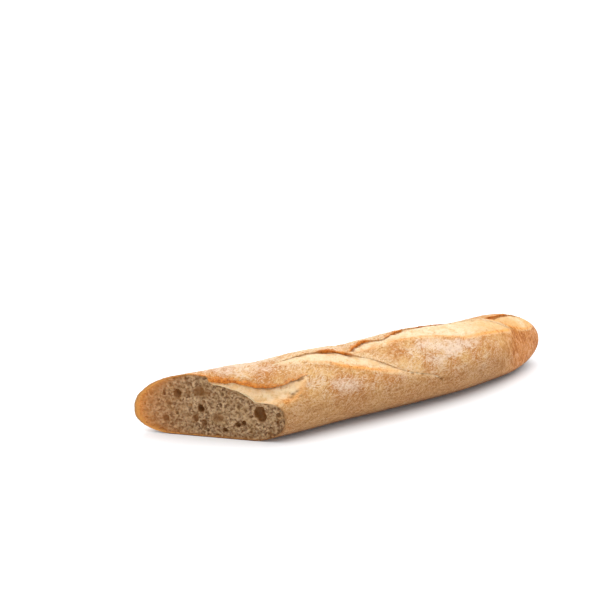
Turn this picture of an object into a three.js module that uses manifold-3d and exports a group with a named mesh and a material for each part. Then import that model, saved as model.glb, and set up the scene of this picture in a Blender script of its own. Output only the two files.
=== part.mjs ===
// A baguette that lies on its flat underside: a long lean loaf, scored with four slashes that have burst
// open. Each slash lies slantwise, from the far side of the top towards the near side, and its far edge has
// lifted into a crisp ear over a sunken floor. One end of the loaf is round. The other was cut off with one
// upright knife cut that slants across the loaf, so the holes of the crumb show there.
// It is one solid. Lengths are in millimetres, angles in degrees, +Z is up and +X runs to the round end.

import * as THREE from 'three';
import { mergeVertices } from 'three/addons/utils/BufferGeometryUtils.js';
import Module from 'manifold-3d';

// Driving dimensions of the whole loaf
const WIDTH = 70; // the widest section, side to side
const HEIGHT = 50; // the highest section, above the table
const CUT_TO_TIP = 302; // along the loaf, from the middle of the cut face to the tip
const CUT_ANGLE = 42.5; // between the knife and the loaf's length
const BOW = 7; // how far the middle of the loaf bows out to the near side
const BELLY = 0.4; // where the loaf is widest, as a share of its height
const LOWER_CURVES = [3, 2.1]; // of the section below its belly, at the cut and further on: 2 is an ellipse
const CURVE_CHANGE = 110; // the first curve has turned into the second over this distance from the cut
const FLAT_EDGE = 65; // angle below the belly where the underside meets the table
const SLIMMING = 0.04; // share of the width lost between the cut and the round end
const SINKING = 0.126; // share of the height lost between the cut and the round end
const RISE = 0.03; // share of the height gained halfway along
const WIDTH_TAPER = 120; // length over which the round end closes in from the sides
const HEIGHT_TAPER = 44; // length over which it closes in from the top and the underside
const TIP_HEIGHT = 19; // of the tip above the table
const END_CURVE = 1.8; // exponent of the round end: 2 is an ellipse, less is more pointed

// An angle goes round the section: 0 is the far side, 90 the top, 180 the near side, 270 the underside.
// Each slash opens between its ear, the raised edge, and its lip, the low edge on the near side.
// edges: [distance along the loaf, angle of the ear, angle of the lip]
// relief: [distance along the loaf, height of the ear above the loaf's round outline, depth of the floor
// below that outline beside the ear, beside the lip, and depth of the loaf's shoulder outside the lip]
const SLASHES = [
  {
    edges: [
      [-60, 40, 150], [-7, 80, 163], [1, 88, 164], [14, 106, 165], [28, 126, 166], [40, 133, 163],
      [54, 130, 155], [67, 127, 127],
    ],
    relief: [
      [-60, 0, 6, 6, 0], [-9, -1, 6, 9, 2], [1, -4, 7.5, 9.5, 3], [16, -5, 7.5, 11.5, 4],
      [28, -4.5, 7, 10.5, 4], [42, -2, 4.5, 6.5, 3], [55, 0, 2, 2.5, 1], [67, 0, 0, 0, 0],
    ],
    undercut: 3.5,
  },
  {
    edges: [
      [63, 93, 93], [85, 91, 113], [97, 92, 127], [107, 105, 132], [116, 117, 137], [132, 136, 149],
      [143, 149, 157], [160, 159, 163], [176, 171, 171],
    ],
    relief: [
      [63, 0, 0, 0, 0], [85, 1, 2.5, 1, 0], [100, 1.5, 4, 1.5, 0], [116, 0.8, 4, 1.5, 0],
      [143, 0.8, 2.5, 1, 0], [176, 0, 0, 0, 0],
    ],
    undercut: 2,
  },
  {
    edges: [
      [112, 108, 108], [127, 84, 104], [145, 81, 109], [171, 68, 104], [196, 76, 113], [206, 82, 121],
      [236, 90, 123], [262, 111, 111],
    ],
    relief: [
      [112, 0, 0, 0, 0], [127, 1.5, 4, 1, 0], [171, 1.8, 3.5, 1, 0], [206, 1.2, 3, 1, 0],
      [236, 0.5, 2, 1, 0], [262, 0, 0, 0, 0],
    ],
    undercut: 1.5,
  },
  {
    edges: [[240, 89, 89], [257, 88, 118], [270, 88, 122], [279, 95, 122], [287, 116, 116]],
    relief: [[240, 0, 0, 0, 0], [257, 1.2, 3, 1, 0], [270, 1, 2.5, 1, 0], [287, 0, 0, 0, 0]],
    undercut: 1,
  },
];
const EAR_REACH = 9; // how far behind an ear its lift can be felt
const EAR_THICKNESS = 4; // an ear this far above its floor has its whole undercut
const EAR_CLEARANCE = 2; // degrees beside an ear that hold no other line
const LIP_RISE = 4; // the floor climbs to the lip over this width
const LIP_REACH = 4; // how far outside a lip its shoulder can be felt
const LIP_BEAD = 0.7; // height of the bead that rolls over along a lip
const BEAD_WIDTH = 3;
const OPEN_WIDTH = 6; // a slash at least this wide has its full depth
const RAGGED = 0.9; // how far a torn edge strays from its line
const SADDLES = [42, 119, 221]; // the outline dips here, between the lobes that the slashes leave
const SADDLE_DEPTH = 2.4;
const SADDLE_LENGTH = 17;
const LUMPS = 0.45; // height of the loaf's gentle unevenness

// Holes in the crumb, on the cut face: [distance along the face, height above the table, width, height].
// The distance is from the middle of the face, and grows towards the near side.
const LARGE_HOLES = [
  [-7, 35, 14, 9], [-26, 32.5, 6, 7], [36, 21, 9, 13], [21.5, 12, 8, 6], [-8.5, 22, 5, 6], [4.5, 15.5, 9, 7],
  [-6, 10.5, 5, 7], [-13, 13.5, 5, 5], [-35, 12, 6, 6], [9.5, 6.5, 4, 4], [-32.5, 24, 4, 4], [50, 21.5, 4, 4],
  [43, 6.5, 4, 4], [-18, 34.5, 4, 5],
];
const HOLE_DEPTH = 3.5; // how far the large holes go in, at most
const SMALL_HOLES = 26;
const SMALL_HOLE_RADII = [0.8, 1.5];
const SMALL_HOLE_REGION = 0.42; // half width of the ellipse that they lie in, as a share of the face
const HOLE_GAP = 1; // bread between neighbouring holes
const FLOOR_CRUST = 5; // no small hole below this height
const SEED = 7;

// Mesh fineness
const ROW_SPACING = 3.6;
const END_ROWS = 12;
const FINE_FROM = 56; // the fine lines run from here over the top to FINE_TO
const FINE_TO = 188;
const FINE_LINES = 35;
const FAR_LINES = 9;
const NEAR_LINES = 5;
const CUT_BLEND = 0.06; // share of the loaf over which the rows let go of the plane of the cut
const PASSES = 4; // that settle where the sunken floor meets that plane
const BESIDE = 0.01; // degrees from an ear's edge to where the depth is read on either side of it

const { lerp, clamp, smoothstep, degToRad, seededRandom } = THREE.MathUtils;
const RADIUS = 33.3; // of a round loaf that is as big around as this one
const MM_PER_DEGREE = degToRad(RADIUS);
const LOWEST = Math.sin(degToRad(FLAT_EDGE));
const CUT_SLOPE = 1 / Math.tan(degToRad(CUT_ANGLE));

// The loaf's section at a distance x along it: its half width, height, sideways shift and lift off the table
function section(x) {
  const along = clamp(x / CUT_TO_TIP, 0, 1);
  const fromWide = clamp((x - CUT_TO_TIP + WIDTH_TAPER) / WIDTH_TAPER, 0, 1);
  const fromHigh = clamp((x - CUT_TO_TIP + HEIGHT_TAPER) / HEIGHT_TAPER, 0, 1);
  const narrowing = (1 - fromWide ** END_CURVE) ** (1 / END_CURVE);
  const closing = (1 - fromHigh ** END_CURVE) ** (1 / END_CURVE);
  return {
    half: (WIDTH / 2) * (1 - SLIMMING * along ** 2) * narrowing,
    height: HEIGHT * (1 - SINKING * along ** 2 + RISE * Math.sin(Math.PI * along)) * closing,
    shift: BOW * (4 * (x / CUT_TO_TIP - 0.5) ** 2 - 1),
    lift: TIP_HEIGHT * (1 - closing),
  };
}

// The values at x of a line of [distance, value, value ...] points
function valuesAt(points, x) {
  const next = points.findIndex(([distance]) => distance >= x);
  if (next < 1) {
    return points.at(next).slice(1);
  }
  const [x0, ...values0] = points[next - 1];
  const [x1, ...values1] = points[next];
  return values0.map((value, i) => lerp(value, values1[i], (x - x0) / (x1 - x0)));
}

// A torn edge wanders a little either side of its line
function ragged(x) {
  return (RAGGED * (Math.sin(x / 2.1) + Math.sin(x / 3.7 + 1))) / 2;
}

// The angles of a slash's ear and lip at x, and the width between them
function slashAt(slash, x) {
  const [line, lip] = valuesAt(slash.edges, x);
  const open = smoothstep((lip - line) * MM_PER_DEGREE, 0, OPEN_WIDTH);
  const ear = line + (open * ragged(x)) / MM_PER_DEGREE;
  return { ear, lip, open, width: (lip - ear) * MM_PER_DEGREE };
}

// How deep the surface lies below the loaf's round outline because of one slash
function slashDepth(slash, x, angle) {
  const { ear, lip, open, width } = slashAt(slash, x);
  if (open === 0) {
    return 0;
  }
  const [height, atEar, atLip, shoulder] = valuesAt(slash.relief, x);
  const beyondEar = (angle - ear) * MM_PER_DEGREE;
  const beyondLip = (angle - lip) * MM_PER_DEGREE;
  const bead = LIP_BEAD * Math.exp(-((beyondLip / BEAD_WIDTH) ** 2));
  if (beyondEar < 0) {
    return -height * open * Math.exp(beyondEar / EAR_REACH);
  }
  if (beyondLip < 0) {
    const floor = lerp(atEar, atLip, Math.sqrt(beyondEar / width));
    return open * (lerp(floor, shoulder, smoothstep(beyondLip, -LIP_RISE, 0)) - bead);
  }
  return open * (shoulder * Math.exp(-beyondLip / LIP_REACH) - bead);
}

// The gentle unevenness of the whole loaf, and the saddles between its lobes
function unevenness(x, angle) {
  const waves = Math.sin(x / 11 + angle / 40) + Math.sin(x / 17 - angle / 19) + Math.sin(angle / 14 + x / 31);
  const saddles = SADDLES.map((middle) => Math.exp(-(((x - middle) / SADDLE_LENGTH) ** 2)));
  const top = Math.max(Math.sin(degToRad(angle)), 0) ** 2;
  return (LUMPS * waves) / 3 + top * (SADDLE_DEPTH * Math.max(...saddles) - SADDLE_DEPTH / 2);
}

// The point of the crust at x and angle. The depth is read at another angle beside an ear, where it jumps.
function crustPoint(x, angle, depthAngle) {
  const { half, height, shift, lift } = section(x);
  const turn = degToRad(angle);
  const belly = BELLY * height;
  const up = Math.sin(turn);
  const across = Math.cos(turn);
  const curve = lerp(...LOWER_CURVES, smoothstep(x, 0, CURVE_CHANGE));
  const power = up > 0 ? 1 : 2 / curve;
  const side = half * Math.sign(across) * Math.abs(across) ** power;
  const below = Math.min(Math.abs(up) / LOWEST, 1) ** power * belly;
  const rise = up > 0 ? (height - belly) * up : -below;
  const fade = smoothstep(up, -LOWEST, -0.3);
  const slashes = SLASHES.reduce((sum, slash) => sum + slashDepth(slash, x, depthAngle), 0);
  const scale = 1 - (fade * (slashes + unevenness(x, angle))) / RADIUS;
  return new THREE.Vector3(x, shift + side * scale, lift + belly + rise * scale);
}

// count numbers from one value up to another, without the last one
function spread(from, to, count) {
  return Array.from({ length: count }, (_, i) => lerp(from, to, i / count));
}

// The angles of the lines that run along the loaf, from one edge of its flat underside to the other
const LINES = [
  ...spread(-FLAT_EDGE, FINE_FROM, FAR_LINES),
  ...spread(FINE_FROM, FINE_TO, FINE_LINES),
  ...spread(FINE_TO, 180 + FLAT_EDGE, NEAR_LINES),
  180 + FLAT_EDGE,
];

// The places of the rows that go round the loaf, as shares of the way from the cut to the tip
const STRAIGHT = CUT_TO_TIP - HEIGHT_TAPER;
const ROWS = [
  ...spread(0, STRAIGHT, Math.round(STRAIGHT / ROW_SPACING)),
  ...spread(0, 90, END_ROWS).map((turn) => STRAIGHT + HEIGHT_TAPER * Math.sin(degToRad(turn))),
].map((x) => x / CUT_TO_TIP);

// Where the plane of the cut meets the line at an angle, on the loaf's round outline
function cutPlace(angle) {
  const { half, shift } = section(0);
  return -(shift + half * Math.cos(degToRad(angle))) * CUT_SLOPE;
}

// Adds a slash to a row of marks where it is open: the edge of its ear and the foot under it, between which
// the depth jumps. The marks closest to the ear make way. Each mark has a place x, an angle, and the angle
// that its depth is read at. Those of a slash, and those at both ends of the row, have a key.
function withEar(marks, slash, number) {
  const gaps = marks.map(({ x, angle }) => angle - slashAt(slash, x).ear);
  const after = gaps.findIndex((gap, i) => i > 0 && gap > 0 && gaps[i - 1] <= 0);
  const share = gaps[after - 1] / (gaps[after - 1] - gaps[after]);
  const x = lerp(marks[after - 1].x, marks[after].x, share);
  const { ear, width } = slashAt(slash, x);
  if (width < 1) {
    return marks;
  }
  const [height, atEar] = valuesAt(slash.relief, x);
  const undercut = (slash.undercut * smoothstep(height + atEar, 0, EAR_THICKNESS)) / MM_PER_DEGREE;
  const isClear = ({ key, angle }) => key || Math.abs(angle - ear) > EAR_CLEARANCE;
  return [
    ...marks.slice(0, after).filter(isClear),
    { x, angle: ear, depthAngle: ear - BESIDE, key: `edge ${number}` },
    { x, angle: ear - undercut, depthAngle: ear + BESIDE, key: `foot ${number}` },
    ...marks.slice(after).filter(isClear),
  ];
}

// One row of marks with their points, round the loaf. The first row lies in the plane of the cut, and the
// rows after it turn square to the loaf bit by bit.
function rowMarks(share) {
  const pull = 1 - smoothstep(share, 0, CUT_BLEND);
  const pointAt = ({ x, angle, depthAngle }) => {
    const point = crustPoint(x, angle, depthAngle);
    const start = lerp(cutPlace(angle), CUT_TO_TIP, share);
    return point.setX(start + pull * (-point.y * CUT_SLOPE - cutPlace(angle)));
  };
  let marks = LINES.map((angle) => ({ x: cutPlace(angle), angle, depthAngle: angle }));
  marks[0].key = 'first';
  marks.at(-1).key = 'last';
  for (let pass = 0; pass < PASSES; pass += 1) {
    marks = marks.map((mark) => ({ ...mark, x: pointAt(mark).x }));
  }
  return SLASHES.reduce(withEar, marks).map((mark) => ({ ...mark, point: pointAt(mark) }));
}

// The triangles between two chains of marks, joined across the shorter way each time
function ribbon(lower, upper) {
  const faces = [];
  let [i, j] = [0, 0];
  while (i + 1 < lower.length || j + 1 < upper.length) {
    const below = lower[i + 1]?.point.distanceTo(upper[j].point) ?? Infinity;
    const above = upper[j + 1]?.point.distanceTo(lower[i].point) ?? Infinity;
    if (below < above) {
      faces.push([lower[i], lower[i + 1], upper[j]]);
      i += 1;
    } else {
      faces.push([lower[i], upper[j + 1], upper[j]]);
      j += 1;
    }
  }
  return faces;
}

// The triangles between two rows. Keyed marks that both rows have are joined to each other, so that the ears
// run on from row to row, and the rest is filled in between them.
function joinRows(lower, upper) {
  const keys = lower.map(({ key }) => key).filter((key) => key && upper.some((mark) => mark.key === key));
  const find = (row, key) => row.findIndex((mark) => mark.key === key);
  const faces = keys.slice(1).flatMap((key, i) => {
    const [part, other] = [lower, upper].map((row) => row.slice(find(row, keys[i]), find(row, key) + 1));
    return ribbon(part, other);
  });
  return [...faces, ...ribbon([lower.at(-1), lower[0]], [upper.at(-1), upper[0]])];
}

// The loaf before its holes: rows joined by triangles, closed by the cut face and by the tip
function loafGeometry() {
  const rows = ROWS.map(rowMarks);
  const { lift } = section(CUT_TO_TIP);
  const tip = { point: new THREE.Vector3(CUT_TO_TIP, 0, lift) };
  const face = rows[0];
  const outline = face.map(({ point }) => new THREE.Vector2(point.y, point.z));
  const faces = [
    ...rows.slice(1).flatMap((row, i) => joinRows(rows[i], row)),
    ...rows.at(-1).map((mark, i, row) => [mark, row[(i + 1) % row.length], tip]),
    ...THREE.ShapeUtils.triangulateShape(outline, []).map(([a, b, c]) => [face[a], face[c], face[b]]),
  ];
  const corners = faces.flat().map(({ point }) => point);
  return new THREE.BufferGeometry().setFromPoints(corners);
}

// One hole: a faceted ball pressed into the cut face at a place on it
function holeGeometry([along, height, wide, high], fineness) {
  const ball = new THREE.IcosahedronGeometry(1, fineness);
  ball.deleteAttribute('normal');
  ball.deleteAttribute('uv');
  const deep = Math.min(wide, high, 2 * HOLE_DEPTH) / 2;
  ball.rotateX(along).rotateZ(height);
  ball.scale(deep, wide / 2, high / 2);
  ball.rotateZ(degToRad(90 - CUT_ANGLE));
  const [sine, cosine] = [Math.sin(degToRad(CUT_ANGLE)), Math.cos(degToRad(CUT_ANGLE))];
  return ball.translate(along * cosine, -along * sine, height);
}

// Small holes, scattered over the part of the cut face that lies well inside its outline
function smallHoles() {
  const faceWidth = WIDTH / Math.sin(degToRad(CUT_ANGLE));
  const holes = [];
  seededRandom(SEED);
  while (holes.length < SMALL_HOLES) {
    const radius = lerp(...SMALL_HOLE_RADII, seededRandom());
    const along = (seededRandom() - 0.5) * faceWidth;
    const height = seededRandom() * HEIGHT;
    const reach = Math.hypot(along / faceWidth, (height - BELLY * HEIGHT) / HEIGHT);
    const rim = HEIGHT * 0.8 - 0.4 * Math.max(along, 0); // the slash has lowered the near side
    const clear = [...LARGE_HOLES, ...holes].every(
      ([a, h, w, t]) => Math.hypot(a - along, h - height) > Math.max(w, t) / 2 + radius + HOLE_GAP,
    );
    if (reach < SMALL_HOLE_REGION && height > FLOOR_CRUST && height < rim && clear) {
      holes.push([along, height, 2 * radius, 2 * radius]);
    }
  }
  return holes;
}

const wasm = await Module();
wasm.setup();

// A closed geometry as a manifold-3d solid
function solid(geometry) {
  const merged = mergeVertices(geometry, 1e-3);
  const vertProperties = merged.attributes.position.array;
  return new wasm.Manifold(new wasm.Mesh({ numProp: 3, vertProperties, triVerts: merged.index.array }));
}

// The loaf with its holes, as a geometry, with the middle of its box at the origin and its flat side at z 0
function baguetteGeometry() {
  let loaf = solid(loafGeometry());
  LARGE_HOLES.forEach((hole) => {
    loaf = loaf.subtract(solid(holeGeometry(hole, 1)));
  });
  smallHoles().forEach((hole) => {
    loaf = loaf.subtract(solid(holeGeometry(hole, 0)));
  });
  const { vertProperties, triVerts } = loaf.getMesh();
  const geometry = new THREE.BufferGeometry();
  geometry.setAttribute('position', new THREE.BufferAttribute(vertProperties, 3));
  geometry.setIndex(new THREE.BufferAttribute(triVerts, 1));
  geometry.computeBoundingBox();
  const { min, max } = geometry.boundingBox;
  geometry.translate(-(min.x + max.x) / 2, -(min.y + max.y) / 2, -min.z);
  geometry.computeVertexNormals();
  return geometry;
}

const crust = new THREE.MeshStandardMaterial({ color: '#dcae72', roughness: 0.8, metalness: 0 });
const baguette = new THREE.Mesh(baguetteGeometry(), crust);
baguette.name = 'baguette';

const part = new THREE.Group();
part.add(baguette);

export default part;
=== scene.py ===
# %% [markdown]
# # A baguette, cut on the slant
# A baguette is a long loaf of lean wheat dough. The baker rolls it, lets it rise in a floured cloth,
# slashes it with a blade and bakes it on a hot stone. The slashes burst open in the oven: each one's far
# edge lifts into a crisp brown ear, and the pale dough that swells up under it is torn into fine strings.
# One end of this loaf was cut off on the slant, so its open crumb shows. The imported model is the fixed
# frame: it says how large the loaf is and where it lies.

# %% Load the frame
import math

import bmesh
import bpy
import numpy as np
from mathutils import Matrix, Vector
from mathutils.geometry import tessellate_polygon


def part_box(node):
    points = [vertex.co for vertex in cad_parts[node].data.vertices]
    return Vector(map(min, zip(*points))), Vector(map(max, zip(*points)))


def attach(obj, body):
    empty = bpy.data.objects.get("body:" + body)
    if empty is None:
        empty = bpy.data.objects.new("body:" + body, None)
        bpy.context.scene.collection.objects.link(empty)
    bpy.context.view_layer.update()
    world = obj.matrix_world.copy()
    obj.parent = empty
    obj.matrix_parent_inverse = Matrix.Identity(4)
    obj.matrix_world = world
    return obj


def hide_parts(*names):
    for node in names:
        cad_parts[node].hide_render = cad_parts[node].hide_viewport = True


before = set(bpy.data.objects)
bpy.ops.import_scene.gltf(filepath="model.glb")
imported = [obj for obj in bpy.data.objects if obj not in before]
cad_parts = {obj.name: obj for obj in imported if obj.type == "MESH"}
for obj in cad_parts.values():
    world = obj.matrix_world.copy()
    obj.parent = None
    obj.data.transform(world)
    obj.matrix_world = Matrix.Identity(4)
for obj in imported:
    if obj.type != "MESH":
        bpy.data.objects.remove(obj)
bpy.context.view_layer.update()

MM = 0.001
low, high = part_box("baguette")
print("the loaf's box in mm:", [round(float(b - a) / MM, 1) for a, b in zip(low, high)])

# %% [markdown]
# ## Two helpers for every step
# Each shape below is worked out for many points at once with numpy, in millimetres. `smooth` is the soft
# step that the shapes fade in and out with. `noise` is a field of random values that flows gently from one
# to the next: it reads a fixed block of random numbers and rounds off the steps between them, so it is the
# same on each run. `noise(x / 6, 2.5)` changes over about 6 mm of x, and its last number only picks another
# layer of the block, so that no two fields look alike.

# %% Helpers for shapes
BLOCK = 64
chance = np.random.default_rng(8)
RANDOM_BLOCK = chance.random((BLOCK, BLOCK, BLOCK))


def smooth(value, start, end):
    """0 before start, 1 after end, and a soft slope between them."""
    share = np.clip((value - start) / (end - start), 0, 1)
    return share * share * (3 - 2 * share)


def mix(first, second, share):
    """The first value at a share of 0, the second at 1."""
    return first + (second - first) * share


def noise(a, b, c=0.0):
    """Random values from 0 to 1 that change over about one unit of each coordinate."""
    coords = np.broadcast_arrays(a, b, c)
    cells = [np.floor(v).astype(int) for v in coords]
    parts = [v - cell for v, cell in zip(coords, cells)]
    parts = [p * p * (3 - 2 * p) for p in parts]
    total = 0.0
    for corner in range(8):
        steps = [(corner >> bit) & 1 for bit in range(3)]
        weight = 1.0
        for part, step in zip(parts, steps):
            weight = weight * (part if step else 1 - part)
        spot = tuple((cell + step) % BLOCK for cell, step in zip(cells, steps))
        total = total + weight * RANDOM_BLOCK[spot]
    return total


# %% [markdown]
# ## The loaf's round outline
# Without its slashes the loaf is a long round body. At each distance from the cut it has a half width, a
# height, a sideways bow and, near the tip, a lift off the table. Around it, an angle runs from 0 on the far
# side over 90 on top to 180 on the near side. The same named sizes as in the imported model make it, so this
# body fills that one.

# %% Sizes of the loaf
WIDTH = 70.0
HEIGHT = 50.0
CUT_TO_TIP = 302.0
CUT_ANGLE = math.radians(42.5)
BOW = 7.0  # how far the loaf bows sideways
BELLY = 0.4  # where it is widest, as a share of its height
LOWER_CURVES = (3.0, 2.1)  # how full its lower side is at the cut, and past CURVE_CHANGE
CURVE_CHANGE = 110.0
FLAT_EDGE = 65.0  # the degrees below the belly where the flat underside starts
SLIMMING = 0.04  # the share of its width that it loses towards the tip
SINKING = 0.126  # the share of its height that it loses
RISE = 0.03  # and gains half way
WIDTH_TAPER = 120.0  # how far before the tip its width starts to close
HEIGHT_TAPER = 44.0  # and its height
TIP_HEIGHT = 19.0
END_CURVE = 1.8  # how round that closing is: 2 is an ellipse
RADIUS = 33.3  # the radius that turns degrees into mm along the skin
MM_PER_DEGREE = math.radians(RADIUS)
LOWEST = math.sin(math.radians(FLAT_EDGE))
NEAR_UNDERSIDE = (-LOWEST, -0.3)  # from here up to there a depth comes to count in full
CUT_SLOPE = 1 / math.tan(CUT_ANGLE)


def section(x):
    """Half width, height, sideways shift and lift of the loaf at x."""
    along = np.clip(x / CUT_TO_TIP, 0, 1)
    from_wide = np.clip((x - CUT_TO_TIP + WIDTH_TAPER) / WIDTH_TAPER, 0, 1)
    from_high = np.clip((x - CUT_TO_TIP + HEIGHT_TAPER) / HEIGHT_TAPER, 0, 1)
    narrowing = (1 - from_wide**END_CURVE) ** (1 / END_CURVE)
    closing = (1 - from_high**END_CURVE) ** (1 / END_CURVE)
    half = WIDTH / 2 * (1 - SLIMMING * along**2) * narrowing
    height = HEIGHT * (1 - SINKING * along**2 + RISE * np.sin(math.pi * along)) * closing
    shift = BOW * (4 * (x / CUT_TO_TIP - 0.5) ** 2 - 1)
    return half, height, shift, TIP_HEIGHT * (1 - closing)


def lower_curve(x):
    """How full the section is below its belly: 2 is an ellipse, more is fuller."""
    return mix(*LOWER_CURVES, smooth(x, 0, CURVE_CHANGE))


def crust_point(x, angle, depth):
    """The point at x and angle, at a depth below the round outline."""
    half, height, shift, lift = section(x)
    turn = np.radians(angle)
    up, across = np.sin(turn), np.cos(turn)
    belly = BELLY * height
    power = np.where(up > 0, 1.0, 2 / lower_curve(x))
    side = half * np.sign(across) * np.abs(across) ** power
    below = np.minimum(np.abs(up) / LOWEST, 1) ** power * belly
    rise = np.where(up > 0, (height - belly) * up, -below)
    scale = 1 - smooth(up, *NEAR_UNDERSIDE) * depth / RADIUS
    return np.stack([x, shift + side * scale, lift + belly + rise * scale], axis=-1)


# %% [markdown]
# ## The slashes
# A baker holds the blade almost flat, so each slash opens to one side only: the far edge becomes the ear
# and the near edge a low, round lip. Each slash is kept as a few short lists. `edges` holds the distance
# along the loaf and the angles of the ear and the lip. `relief` holds the distance, the ear's height above
# the round outline, the depth of the floor beside the ear and beside the lip, and the depth of the shoulder
# outside the lip. `torn` holds the height of the ear's torn face and how dark it baked, `ropes` the height
# of the floor's ridges, `baked` how golden the floor is and `heat` how golden the lip is. Three plain
# numbers follow: `undercut` is how far the ear overhangs its floor in mm, `unsteady` how much the step at
# the ear grows and shrinks along it, and `lip_rise` how wide the slope from the floor up to the lip is in
# mm. `PITS` are small holes where the slashes end: distance, angle, radius and depth.

# %% The slashes
SLASHES = [
    {
        "edges": [(-60, 40, 150), (-7, 82, 161), (1, 90.5, 161), (14, 105, 161), (28, 125, 161.5),
                  (40, 132, 160), (54, 130, 153), (67, 127, 127)],
        "relief": [(-60, 0, 6, 6, 0), (-9, -1, 5.6, 9, 2), (1, -4, 8.2, 11, 3), (16, -5, 8.6, 13, 4),
                   (28, -4.5, 7.8, 11.5, 4), (42, -2, 4.6, 6.6, 3), (55, 0, 2.2, 2.5, 1), (67, 0, 0, 0, 0)],
        "undercut": 2.4,
        "unsteady": 0.3,
        "lip_rise": 9,
        "baked": [(-60, 0.35), (67, 0.5)],
        "torn": [(-60, 2.4, 1), (20, 2.4, 1), (45, 1.9, 1), (58, 1.1, 0.7), (67, 0.6, 0.5)],
        "ropes": [(-60, 0.3), (8, 0.5), (30, 1.7), (60, 1.2), (67, 0)],
        "heat": [(-60, 0.7), (5, 0.85), (20, 0.85), (50, 0.7), (67, 0.1)],
    },
    {
        "edges": [(46, 95, 95), (58, 91, 101), (70, 88, 108), (88, 90, 118), (97, 92, 126), (106, 104, 131),
                  (115, 113, 136), (124, 122, 142), (132, 134, 147), (142, 147, 152), (155, 156, 160),
                  (168, 163, 166.5), (178, 171, 171)],
        "relief": [(46, 0, 0, 0, 0), (70, 0.3, 0.7, 0.5, 0), (84, 0.7, 1.5, 0.8, 0), (97, 1.5, 3, 1.5, 0),
                   (106, 1.3, 2.6, 1.4, 0), (113, 0.2, 0.7, 1.2, 0), (132, 0.2, 0.7, 0.8, 0),
                   (145, 0.3, 0.9, 0.4, 0), (165, 0.2, 0.6, 0.1, 0), (178, 0, 0, 0, 0)],
        "undercut": 1.6,
        "unsteady": 1.6,
        "lip_rise": 4,
        "baked": [(46, 0.3), (90, 0.2), (178, 0.5)],
        "torn": [(46, 0.4, 0), (85, 0.6, 0.15), (91, 2, 1), (106, 2.1, 1), (112, 0.7, 0.15),
                 (178, 0.4, 0.05)],
        "ropes": [(46, 0), (70, 0.9), (150, 0.8), (178, 0)],
        "heat": [(46, 0), (68, 0.25), (84, 0.45), (94, 0.9), (103, 1.0), (120, 1.0), (132, 0.45), (178, 0.3)],
    },
    {
        "edges": [(108, 104, 104), (116, 95, 106), (124, 85, 106), (130, 80, 105), (136, 86, 104),
                  (143, 92, 104), (148, 89, 103), (155, 82, 103.5), (163, 77, 104), (172, 71, 105),
                  (180, 66, 107), (186, 67, 109), (197, 67, 115), (209, 64, 121.5), (222, 63, 122),
                  (232, 76, 124), (240, 92, 126), (248, 108, 128.5), (256, 123, 131), (262, 131, 131)],
        "relief": [(108, 0, 0, 0, 0), (116, 1.8, 2.8, 1.5, 0), (131, 2.2, 3, 1.5, 0), (138, 0.6, 1.5, 1, 0),
                   (150, 0.5, 1.2, 0.8, 0), (165, 1, 1.4, 0.8, 0), (185, 0.6, 0.9, 0.7, 0),
                   (210, 0.4, 0.6, 0.7, 0), (226, 0.1, 0.35, 0.7, 0), (250, 0.05, 0.25, 0.6, 0),
                   (262, 0, 0, 0, 0)],
        "undercut": 1.2,
        "unsteady": 1.6,
        "lip_rise": 4,
        "baked": [(108, 0.2), (215, 0.2), (240, 0.7), (262, 0.9)],
        "torn": [(108, 1, 0.8), (114, 2.6, 1), (132, 2.6, 1), (137, 0.8, 0.2), (146, 0.7, 0.2),
                 (150, 1.4, 0.9), (168, 1.4, 0.9), (172, 0.5, 0.1), (183, 0.5, 0.1), (186, 0.9, 0.8),
                 (196, 0.9, 0.8), (199, 0.5, 0.2), (202, 0.9, 0.7), (208, 0.9, 0.7), (212, 0.4, 0.1),
                 (262, 0.3, 0)],
        "ropes": [(108, 0), (120, 0.8), (240, 0.8), (262, 0)],
        "heat": [(108, 0.2), (140, 0.5), (186, 0.65), (222, 0.75), (236, 1.0), (262, 1.0)],
    },
    {
        "edges": [(242, 88, 88), (246, 90, 98), (250, 91.5, 103), (257, 91, 119), (263, 90, 129),
                  (271, 89, 134), (280, 92, 134), (286, 100, 130), (292, 116, 116)],
        "relief": [(242, 0, 0, 0, 0), (250, 1.2, 2.2, 1, 0), (258, 1.2, 2.2, 1, 0), (269, 0.5, 1.2, 0.8, 0),
                   (284, 0.1, 0.4, 0.5, 0), (292, 0, 0, 0, 0)],
        "undercut": 0.8,
        "unsteady": 1.6,
        "lip_rise": 4,
        "baked": [(242, 0.8), (292, 0.9)],
        "torn": [(242, 0.4, 0.2), (247, 1, 0.8), (264, 1, 0.8), (270, 0.5, 0.2), (292, 0.3, 0)],
        "ropes": [(242, 0), (255, 0.7), (292, 0)],
        "heat": [(242, 0.8), (260, 1.0), (292, 0.8)],
    },
]
PITS = [
    (58.5, 130.5, 1.1, 1.8), (61, 130, 1.4, 1.2), (65.5, 129, 1.3, 0.6), (51, 148.5, 1.6, 1.3),
    (54, 145.5, 1.3, 1.0), (49, 152, 1.5, 1.1), (55, 153, 1.2, 0.8), (151, 155, 1.0, 1.0),
    (155, 157, 0.8, 0.9), (160, 159.5, 1.2, 1.1), (166, 163.5, 0.8, 0.7), (174, 169.5, 0.9, 1.0),
    (177, 172.5, 1.4, 1.6), (70, 108, 1.1, 0.8), (88, 117, 1.0, 0.7),
]
EAR_REACH = 9.0  # how far behind its edge an ear fades into the skin
LIP_REACH = 4.0  # how far outside the lip its shoulder fades
LIP_BEAD = 0.7  # the height of the small roll along the lip
BEAD_WIDTH = 3.0
OPEN_WIDTH = 6.0  # how wide a slash is where it counts as fully open
RAGGED = 1.1  # how far a torn edge strays
CALM_EDGE = (3, 14)  # where it starts to stray fully, from the cut on


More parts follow.
